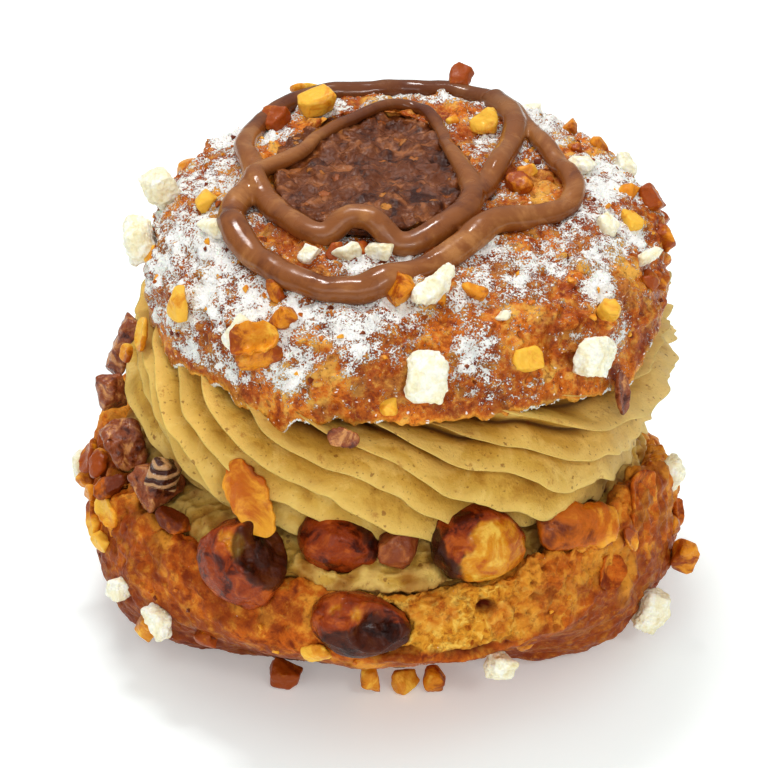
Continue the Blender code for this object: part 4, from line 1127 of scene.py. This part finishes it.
flakes = {  # middle, the way it faces, the way it lies, length, width and thickness in mm, bluntness, curl, tone
    "almondSlice": (almondMaterial, "roasted_nut", ["almond_slice"], [
        ((-18.9, -36.9, 38.6), (-0.3, -0.85, 0.42), (0.5, -0.3, -0.82), (12.2, 6.0, 1.5), 2.0, 0.3, 0.58)]),
    "almondShard": (almondMaterial, "roasted_nut", ["almond_shard"], [
        ((28.0, -32.4, 31.2), (0.3, -0.72, 0.6), (0.93, 0.35, -0.12), (12.6, 6.6, 2.0), 9, -0.35, 0.5)]),
    "crustFlaps": (crustMaterial, "choux_crust", [], [
        ((38.0, -23.2, 28.6), (0.85, -0.5, 0.12), (-0.16, 0.1, 1), (10.8, 7.6, 0.9), 5, 0.35, 0.46),
        ((45.4, -8.0, 17.6), (0.9, -0.4, 0.2), (0.2, 0, 1), (4.8, 2.8, 0.9), 4, 0.5, 0.35),
        ((33.2, -31.0, 22.2), (0.6, -0.75, 0.3), (0.5, 0.2, 1), (5.6, 4.4, 0.8), 3, 0.6, 0.42)]),
    "crustFlakes": (nibMaterial, "roasted_nut", [], [
        ((36.2, -28.6, 26.2), (0.7, -0.7, 0.2), (0.35, 0.2, -1), (4.6, 2.0, 0.8), 2, 0.6, 0.4),
        ((-35.8, -10.6, 50.6), (-0.9, -0.35, 0.3), (0.2, 0.5, 1), (5.2, 3.0, 1.0), 3, 0.4, 0.75),
        ((-44.2, -14.2, 20.6), (-0.95, -0.3, 0.1), (0.1, -0.6, -0.8), (6.5, 3.6, 1.4), 3, 0.5, 0.55),
        ((-41.6, -19.0, 25.0), (-0.8, -0.5, 0.4), (-0.5, 0.8, 0.2), (7.0, 3.2, 1.3), 3, 0.4, 0.7),
        ((-45.4, -5.4, 26.4), (-0.9, -0.1, 0.5), (0.1, 0.9, 0.3), (6.0, 4.0, 1.5), 3, 0.4, 0.15),
        ((-43.6, -9.6, 27.6), (-0.7, -0.3, 0.6), (0.3, 0.9, 0.1), (5.0, 3.4, 1.4), 3, -0.4, 0.1),
        ((-38.6, -7.0, 45.4), (-0.8, -0.5, 0.3), (0.2, 0.3, 1), (3.0, 2.4, 1.2), 3, 0.3, 0.5),
        ((-12.4, 32.3, 71.2), (0, 0.6, 1), (1, 0.1, 0), (5.0, 3.4, 1.2), 3, 0.3, 0.85),
        ((-18.2, -32.0, 61.6), (-0.35, -0.7, 0.6), (0.9, -0.2, 0.3), (7.4, 4.6, 1.6), 4, 0.9, 0.42)]),
    "chocolateChips": (darkMaterial, "dark_chocolate", [], [
        ((-5.6, -40.8, 51.0), (-0.1, -0.9, 0.4), (1, 0, -0.2), (4.6, 2.6, 1.4), 3, 0.4, 0.5),
        ((34.0, -26.6, 49.8), (0.8, -0.5, 0.2), (0.3, -0.1, 1), (6.6, 3.0, 1.0), 2, 0.5, 0.5)]),
}


def flakeMesh(size, blunt, curl, seed):
    length, width, thick = size
    around, along = 24, 28
    points, faces = [], []
    for i in range(along + 1):
        t = 2 * i / along - 1
        t = math.copysign(1 - (1 - abs(t)) ** 1.6, t)                   # rings closer together at the ends
        full = max(1 - abs(t) ** blunt, 0) ** 0.5
        for j in range(around):
            angle = 2 * math.pi * j / around
            side = math.copysign(abs(math.cos(angle)) ** 0.55, math.cos(angle)) * full
            up = math.copysign(abs(math.sin(angle)) ** 0.5, math.sin(angle)) * full ** 0.7
            point = Vector((0.5 * length * t, 0.5 * width * side, 0.5 * thick * up))
            ragged = 1 + 0.26 * noise.noise(Vector((1.3 * t * length / width, side, seed)) * 1.7)
            point.y *= ragged + 0.08 * noise.noise(Vector((9 * t, 3 * side, seed)))
            point.z += curl * 0.5 * width * (side * side - 0.4) + 0.25 * curl * length * (t * t - 0.4) * 0.4
            point.z += 0.12 * thick * noise.noise(point * 0.9 + Vector((seed, 0, 0)))
            points.append(point * mm)
    for i in range(along):
        for j in range(around):
            a, b = i * around + j, i * around + (j + 1) % around
            faces.append((a, b, b + around, a + around))
    mesh = bpy.data.meshes.new("flake")
    mesh.from_pydata(points, [], faces)
    return mesh


def makeFlakes():
    for name, (material, slot, nodes, rows) in flakes.items():
        work = bmesh.new()
        tones = []
        for number, (middle, facing_, along, size, blunt, curl, tone) in enumerate(rows):
            up = Vector(facing_).normalized()
            across = up.cross(Vector(along)).normalized()
            matrix = Matrix((across.cross(up), across, up)).transposed().to_4x4()
            matrix.translation = Vector(middle) * mm
            flake = flakeMesh(size, blunt, curl, number * 3.7 + 1.1)
            tones += [tone + 0.6 * vertex.co.x / (size[0] * mm) for vertex in flake.vertices]   # one end more browned
            flake.transform(matrix)
            work.from_mesh(flake)
            bpy.data.meshes.remove(flake)
        tone = work.verts.layers.float.new("tone")
        for vertex, value in zip(work.verts, tones):
            vertex[tone] = value
        bmesh.ops.remove_doubles(work, verts=work.verts, dist=1e-6)
        bmesh.ops.recalc_face_normals(work, faces=work.faces)
        mesh = bpy.data.meshes.new(name)
        work.to_mesh(mesh)
        work.free()
        mesh.shade_smooth()
        finishPiece(newPiece(name, mesh), material, slot, *nodes)


# ---- chopped nuts, sugar and crumbs that are scattered on the crust

def chipMesh(name, seed, halfSize, corners_=12, sharp=0.7):  # a small broken bit
    pick = random.Random(seed)
    work = bmesh.new()
    for _ in range(corners_):
        way = Vector([pick.gauss(0, 1) for _ in range(3)]).normalized()
        way = Vector([math.copysign(abs(v) ** sharp, v) for v in way]) * pick.uniform(0.85, 1.05)
        work.verts.new([v * half for v, half in zip(way, halfSize)])
    hull = bmesh.ops.convex_hull(work, input=work.verts)
    loose = {item for key in ("geom_interior", "geom_unused") for item in hull[key]}
    bmesh.ops.delete(work, geom=[item for item in loose if isinstance(item, bmesh.types.BMVert)])
    bmesh.ops.recalc_face_normals(work, faces=work.faces)
    mesh = bpy.data.meshes.new(name)
    work.to_mesh(mesh)
    work.free()
    return mesh


def makeScatterTree():  # bits set on a surface, thick where the mask says so
    tree, given, result = newGroup(
        "scatter",
        [("Geometry", "NodeSocketGeometry", None), ("Bits", "NodeSocketCollection", None),
         ("Density", "NodeSocketFloat", 1e5), ("Apart", "NodeSocketFloat", 0.0005), ("Mask", "NodeSocketString", None),
         ("Smallest", "NodeSocketFloat", 0.6), ("Largest", "NodeSocketFloat", 1.3),
         ("Seed", "NodeSocketInt", 1), ("Material", "NodeSocketMaterial", None)],
        [("Geometry", "NodeSocketGeometry")], "GeometryNodeTree")
    cover = put(tree, "GeometryNodeInputNamedAttribute", {0: given["Mask"]}, data_type="FLOAT").outputs[0]
    spots = put(tree, "GeometryNodeDistributePointsOnFaces",
                {"Mesh": given["Geometry"], "Distance Min": given["Apart"], "Density Max": given["Density"],
                 "Density Factor": cover, "Seed": given["Seed"]}, distribute_method="POISSON")
    bits = put(tree, "GeometryNodeCollectionInfo", {0: given["Bits"], 1: True, 2: True})

    def chance(kind, low, high, step):
        seed = calc(tree, "ADD", given["Seed"], step)
        made = put(tree, "FunctionNodeRandomValue", {"Seed": seed}, data_type=kind)
        sockets = {"FLOAT": (2, 3), "FLOAT_VECTOR": (0, 1)}[kind]
        for socket, value in zip(sockets, (low, high)):
            if isinstance(value, bpy.types.NodeSocket):
                tree.links.new(value, made.inputs[socket])
            else:
                made.inputs[socket].default_value = value
        return made.outputs[1 if kind == "FLOAT" else 0]

    turn = chance("FLOAT_VECTOR", (0, 0, 0), (6.28, 6.28, 6.28), 1)
    size = chance("FLOAT", given["Smallest"], given["Largest"], 2)
    placed = put(tree, "GeometryNodeInstanceOnPoints",
                 {"Points": spots.outputs[0], "Instance": bits.outputs[0], "Pick Instance": True, "Rotation": turn,
                  "Scale": size})
    tone = chance("FLOAT", 0.0, 1.0, 3)
    toned = put(tree, "GeometryNodeStoreNamedAttribute",
                {"Geometry": placed.outputs[0], "Name": "tone", "Value": tone}, data_type="FLOAT", domain="INSTANCE")
    real = put(tree, "GeometryNodeRealizeInstances", {0: toned.outputs[0]})
    done = put(tree, "GeometryNodeSetMaterial", {"Geometry": real.outputs[0], "Material": given["Material"]})
    tree.links.new(done.outputs[0], result[0])
    return tree


scatterTree = makeScatterTree()


def bitCollection(name, meshes):
    group = bpy.data.collections.new(name)
    for mesh in meshes:
        group.objects.link(bpy.data.objects.new(mesh.name, mesh))
    return group


def scatterOn(surface, name, meshes, material, slot, **values):
    group = bitCollection(name + " bits", meshes)
    piece = newPiece(name, surface.data.copy())
    applyTree(piece, scatterTree, {"Bits": group, "Material": material, **values})
    for thing in list(group.objects):
        bpy.data.objects.remove(thing)
    bpy.data.collections.remove(group)
    print(name + ":", len(piece.data.polygons), "faces")
    return finishPiece(piece, material, slot)


dust = {"grain": 0.16 * mm, "density": 9e6, "apart": 0.2 * mm}


def makeIcing(lidPiece):
    mesh = lidPiece.data
    places = corners(mesh)
    values = np.empty(len(places), np.float32)
    mesh.attributes["icing"].data.foreach_get("value", values)
    paint(mesh, "grains", soft(values + 0.12 * bumps(places, 1.0 * mm, 2.2), 0.42, 0.8))
    grain = chipMesh("grain", 5, (dust["grain"],) * 3, 6, 1.0)
    return scatterOn(lidPiece, "icingGrains", [grain], icingMaterial, "glazed_crust", Density=dust["density"],
                     Apart=dust["apart"], Mask="grains", Smallest=0.6, Largest=1.5, Seed=4)


def makeIcingMaterial():
    material, tree, shader = newMaterial("icing sugar", Subsurface_Weight=0.3, Subsurface_Scale=0.4 * mm)
    place = here(tree)
    body = use(tree, drift, {"Place": place, "Low": rgb(236, 228, 212), "Middle": rgb(248, 245, 238),
                             "High": rgb(252, 251, 248), "Size": 1.5 * mm, "Bias": 0.0})
    rough = ramp(tree, fineNoise(tree, place, 0.5 * mm), 0.3, 0.7, 0.7, 0.95)
    wire(tree, shader, body["Colour"], rough)
    return material


icingMaterial = makeIcingMaterial()


def scatterCrumbs(surface, name, density, seed):
    bits = [chipMesh("crumb", 40 + k, (0.6 * mm, (0.45 + 0.03 * k) * mm, 0.42 * mm), 14) for k in range(6)]
    return scatterOn(surface, name, bits, almondMaterial, "roasted_nut", Density=density, Apart=1.0 * mm,
                     Mask="crumbs", Smallest=0.4, Largest=1.3, Seed=seed)


# listed bits: x and y on the lid, or degrees round and height on the base; length, width, height; turn; tone
lidNibs = [
    (15.5, 18.4, (5.0, 4.4, 4.4), 0.3, 0.8), (19.8, -0.2, (5.0, 3.6, 3.2), 1.2, 0.2), (17.2, 4.6, (4, 3, 3), 2.0, 0.3),
    (21.5, 3.4, (3.6, 3, 2.6), 2.7, 0.6), (18.2, 8.4, (5.4, 2.0, 2.2), 0.7, 0.3), (10.5, 19.5, (2.4, 1.8, 1.6), 0.4, 0.5),
    (2.5, -27.2, (5.4, 4.6, 4.2), 0.9, 0.35), (12.7, -26.0, (4.4, 2.6, 2), 2.2, 0.5), (20.1, -32.4, (5.2, 3.8, 3.2), 0.2, 0.9),
    (0.6, -37.5, (4.4, 2.8, 1.8), 1.4, 0.7), (31.6, -24.8, (3.6, 3.2, 5.0), 2.4, 0.8), (-17.3, -31.2, (8.0, 4.6, 3.0), 0.5, 0.4),
    (-14.6, -29.6, (4.4, 3.6, 4), 1.9, 0.35), (-15.5, -24.0, (4.6, 2.2, 2.6), 1.5, 0.3), (-25.8, -2.0, (5.2, 4.2, 3), 0.4, 0.95),
    (-17.0, 21.0, (5.4, 4.6, 4.6), 1.1, 0.05), (-24.2, 28.0, (2.6, 2.4, 2.2), 0.6, 0.1), (-29.8, 18.5, (6.0, 4.4, 3.6), 0.6, 0.4),
    (-12.0, -13.0, (2.6, 2, 2), 0.2, 0.1), (-7.0, -18.5, (3.2, 2.4, 2.4), 1.0, 0.2), (-3.0, -17.6, (3.4, 2.6, 2.4), 0.2, 0.2),
    (13.6, 36.4, (4.2, 3.6, 5.6), 2.1, 0.25), (38.0, -14.0, (3.2, 3, 3), 1.5, 0.2), (29.0, 13.5, (2.6, 2.2, 2), 1.5, 0.3),
    (-3.4, 37.0, (3.8, 3, 3), 1.5, 0.4), (28.0, 22.0, (3.6, 3, 3), 0.1, 0.3), (36.2, 2.0, (3.4, 3, 2), 1.3, 0.5),
    (7.6, -28.0, (2.8, 2.2, 1.6), 0.6, 0.3), (26.5, 8.5, (3.0, 2.4, 2), 2.0, 0.2), (33.0, 17.0, (4.0, 3.0, 2.4), 0.9, 0.3),
]
lidSugar = [
    (-24.6, -10.5, (5.4, 3.6, 3.6), 1.4, 0.5), (-20.1, -27.5, (5.8, 4.4, 4.0), 1.1, 0.5), (-5.2, -19.3, (4.6, 3.4, 3), 0.2, 0.5),
    (-0.6, -18.5, (5.0, 3.4, 3), 0.7, 0.5), (29.4, 7.0, (6.0, 4.0, 3), 0.2, 0.5), (32.3, -9.3, (4.6, 3.6, 3), 1.6, 0.5),
    (37.0, -12.3, (2.4, 2.4, 6.0), 0.4, 0.5), (-10.4, -18.6, (3.8, 3, 2.6), 1.4, 0.5), (36.8, 15.0, (5.0, 3.6, 3.4), 1.8, 0.5),
    (38.4, -22.0, (3, 2.6, 2.6), 0.2, 0.5), (23.0, 30.5, (4.4, 3.4, 3), 2.2, 0.5), (16.6, -29.0, (2.4, 2, 1.8), 0.2, 0.5),
]
baseNibs = [
    (257.6, 17.6, (4.6, 4.0, 2.2), 0.5, 0.85), (217, 9.6, (5.0, 4.8, 3.4), 0.6, 0.5),
    (203, 19.0, (5.0, 3.4, 2.6), 0.3, 0.8), (206, 22.5, (6.0, 2.6, 2.0), 1.2, 0.7), (196, 24.0, (4.4, 3.4, 3), 0.8, 0.3),
    (190, 26.0, (4.6, 3.0, 2.6), 1.9, 0.2), (187, 22.0, (3.6, 3.2, 2.8), 0.4, 0.4), (233.5, 13.6, (5.6, 3.8, 2.8), 0.9, 0.0),
    (301, 12.0, (3.2, 2.6, 2.2), 0.6, 0.4), (347, 17.0, (3.8, 3.0, 2.6), 1.0, 0.4), (20, 16.0, (4.4, 3.4, 3), 0.3, 0.5),
    (48, 13.0, (5.0, 4.0, 3), 1.4, 0.3), (75, 17.0, (4.2, 3.4, 3), 0.9, 0.7), (104, 12.0, (4.8, 3.8, 3), 0.4, 0.2),
    (131, 18.0, (4.4, 3.4, 2.8), 1.6, 0.6), (158, 13.0, (4.6, 3.8, 3), 0.2, 0.4),
]
footNibs = [                                    # x and y where they stand, against the foot of the base
    (-14.9, -28.6, (5.4, 5.2, 5.0), 0.1, 0.0), (-2.0, -32.4, (3.2, 4.6, 6.6), 0.1, 0.45),
    (3.3, -30.4, (4.4, 4.2, 4.0), 0.8, 0.65), (7.6, -30.2, (3.8, 3.8, 4.2), 0.2, 0.35),
]
baseSugar = [
    (62, 15.0, (5.0, 4.2, 3.6), 0.4, 0.5), (118, 16.0, (5.4, 4.0, 3.4), 1.2, 0.5), (150, 19.0, (4.2, 3.6, 3), 0.7, 0.5),
    (33, 12.0, (4.4, 3.8, 3.2), 0.2, 0.5), (212.5, 15.6, (5.4, 4.2, 4.0), 0.4, 0.5),
]
lidEdgeNibs = [
    (357, 62.0, (4.4, 4.0, 3.6), 0.3, 0.3), (4, 66.0, (5.0, 4.0, 3.6), 1.2, 0.15), (349, 58.0, (3.6, 3.4, 3.0), 2.0, 0.5),
    (352, 66.5, (4.0, 3.4, 3.0), 0.8, 0.8), (12, 60.0, (4.4, 3.8, 3.2), 0.5, 0.2), (341, 61.0, (3.4, 3.0, 2.6), 1.5, 0.4),
    (186, 60.0, (4.0, 3.2, 2.8), 0.4, 0.6), (170, 64.0, (4.6, 3.8, 3.2), 1.0, 0.2), (40, 62.0, (4.6, 3.8, 3.4), 0.2, 0.5),
    (66, 59.0, (4.4, 3.6, 3), 1.7, 0.2), (98, 63.0, (5.0, 4.0, 3.4), 0.9, 0.6), (128, 60.0, (4.2, 3.4, 3), 0.4, 0.3),
]
backNibs = [(11.6, 32.2, (4.0, 3.4, 5.4), 0.3, 0.15)]
bitLook = {"voxel": 0.2 * mm, "rounds": 3, "rough": 0.16 * mm}


def onTop(trees, x, y):
    return hitFrom(trees, (x * mm, y * mm, 0.1), (0, 0, -1))


def onSide(trees, degrees, height):
    way = Vector((math.cos(math.radians(degrees)), math.sin(math.radians(degrees)), 0))
    return hitFrom(trees, way * 0.08 + Vector((0, 0, height * mm)), -way)


def onTable(trees, x, y):
    return Vector((x * mm, y * mm, 0.2 * mm)), Vector((0, 0, 1))


def placeBits(name, rows, find, trees, material, slot, seed, sunk=0.3):
    work = bmesh.new()
    middles, tones = [], []
    for number, (first, second, size, turn, tone) in enumerate(rows):
        spot, normal = find(trees, first, second)
        if spot is None:
            continue
        pick = random.Random(seed * 100 + number)
        half = Vector(size) * 0.5 * mm
        bit = chipMesh(name, seed * 100 + number, half, 18, 0.62)
        lean = Matrix.Rotation(pick.uniform(-0.3, 0.3), 4, "X") @ Matrix.Rotation(pick.uniform(-0.3, 0.3), 4, "Y")
        matrix = normal.to_track_quat("Z", "Y").to_matrix().to_4x4() @ lean @ Matrix.Rotation(turn, 4, "Z")
        matrix.translation = spot + normal * (half.z * (1 - 2 * sunk))
        bit.transform(matrix)
        work.from_mesh(bit)
        middles.append(matrix.translation)
        tones.append(tone)
        bpy.data.meshes.remove(bit)
    mesh = bpy.data.meshes.new(name)
    work.to_mesh(mesh)
    work.free()
    piece = skinned(newPiece(name, mesh), bitLook["voxel"], bitLook["rounds"])
    places = corners(piece.data)
    move = bitLook["rough"] * (bumps(places, 1.6 * mm, seed, 2) + 0.8 * (pits(places, 1.3 * mm, seed + 2.5) - 0.4))
    moveTo(piece.data, places + outward(piece.data) * move[:, None])
    nearest = np.argmin(((places[:, None] - np.array(middles)[None]) ** 2).sum(-1), axis=1)
    paint(piece.data, "tone", np.array(tones)[nearest])
    print(name + ":", len(piece.data.polygons), "faces")
    return finishPiece(piece, material, slot)


# ---- stage, light and camera

def makeStage():
    work = bmesh.new()
    bmesh.ops.create_grid(work, x_segments=1, y_segments=1, size=3)
    mesh = bpy.data.meshes.new("floor")
    work.to_mesh(mesh)
    work.free()
    floor = newPiece("floor", mesh)
    material, tree, shader = newMaterial("pale floor", Roughness=0.9, Specular_IOR_Level=0.1)
    shader.inputs["Base Color"].default_value = rgb(234, 242, 242)
    shader.inputs["Emission Color"].default_value = (0.98, 1, 0.99, 1)
    shader.inputs["Emission Strength"].default_value = 0.26
    mesh.materials.append(material)


def addSoftbox(name, place, aim, size, power):
    light = bpy.data.lights.new(name, "AREA")
    light.shape = "RECTANGLE"
    light.size, light.size_y = size
    light.energy = power
    lamp = newPiece(name, light)
    lamp.location = place
    lamp.rotation_euler = (Vector(aim) - Vector(place)).to_track_quat("-Z", "Y").to_euler()


def makeLight():
    world = bpy.data.worlds.new("studio")
    bpy.context.scene.world = world
    world.use_nodes = True
    sky = world.node_tree.nodes["Background"]
    sky.inputs["Color"].default_value = (1.0, 1.0, 1.0, 1)
    way = put(world.node_tree, "ShaderNodeTexCoord").outputs["Generated"]
    upward = put(world.node_tree, "ShaderNodeSeparateXYZ", {0: way}).outputs[2]
    glow = ramp(world.node_tree, upward, 0.0, 1.0, 0.33, 0.82)      # the tent is brighter overhead
    world.node_tree.links.new(glow, sky.inputs["Strength"])
    middle = (0, 0, 0.035)
    addSoftbox("overhead softbox", (-0.1, 0.2, 0.7), middle, (0.24, 0.09), 2.1)
    addSoftbox("front softbox", (0.3, -0.7, 0.62), middle, (0.16, 0.1), 1.3)
    addSoftbox("front fill", (-0.15, -1.0, 0.6), middle, (0.9, 0.5), 2.8)
    view = bpy.context.scene.view_settings
    view.view_transform = "Standard"
    view.gamma = 0.9


def makeCamera():
    distance, elevation, aimHeight = 0.42, math.radians(30), 0.036
    camera = newPiece("camera", bpy.data.cameras.new("camera"))
    camera.data.sensor_width = 36
    camera.data.lens = 128
    camera.location = (0, -distance * math.cos(elevation), aimHeight + distance * math.sin(elevation))
    camera.rotation_euler = (math.pi / 2 - elevation, 0, 0)
    bpy.context.scene.camera = camera


makeStage()
makeLight()
makeCamera()
basePiece = makeBase()
print("base done")
lidPiece = makeLid()
print("lid done")
makeBed()
makeSwirl()
print("cream done")
poolPiece = makePool()
pipingPiece = makePiping(lidPiece, poolPiece)
print("praline and chocolate done")
makeHazelnuts()
makeBroken()
makeFlakes()
print("nuts, chocolate and sugar lumps done")
lidTrees = surfaceOf(lidPiece)
baseTrees = surfaceOf(basePiece)
placeBits("lidNibs", lidNibs, onTop, lidTrees, nibMaterial, "roasted_nut", 1)
placeBits("lidEdgeNibs", lidEdgeNibs, onSide, lidTrees, nibMaterial, "roasted_nut", 5, 0.42)
placeBits("backNib", backNibs, onTop, surfaceOf(pipingPiece), nibMaterial, "roasted_nut", 6)
placeBits("lidSugar", lidSugar, onTop, lidTrees, sugarMaterial, "pearl_sugar", 2)
placeBits("baseNibs", baseNibs, onSide, baseTrees, nibMaterial, "roasted_nut", 3)
placeBits("footNibs", footNibs, onTable, baseTrees, nibMaterial, "roasted_nut", 7, 0)
placeBits("baseSugar", baseSugar, onSide, baseTrees, sugarMaterial, "pearl_sugar", 4)
makeIcing(lidPiece)
scatterCrumbs(lidPiece, "lidCrumbs", 70000, 8)
scatterCrumbs(basePiece, "baseCrumbs", 30000, 9)
print("toppings done")
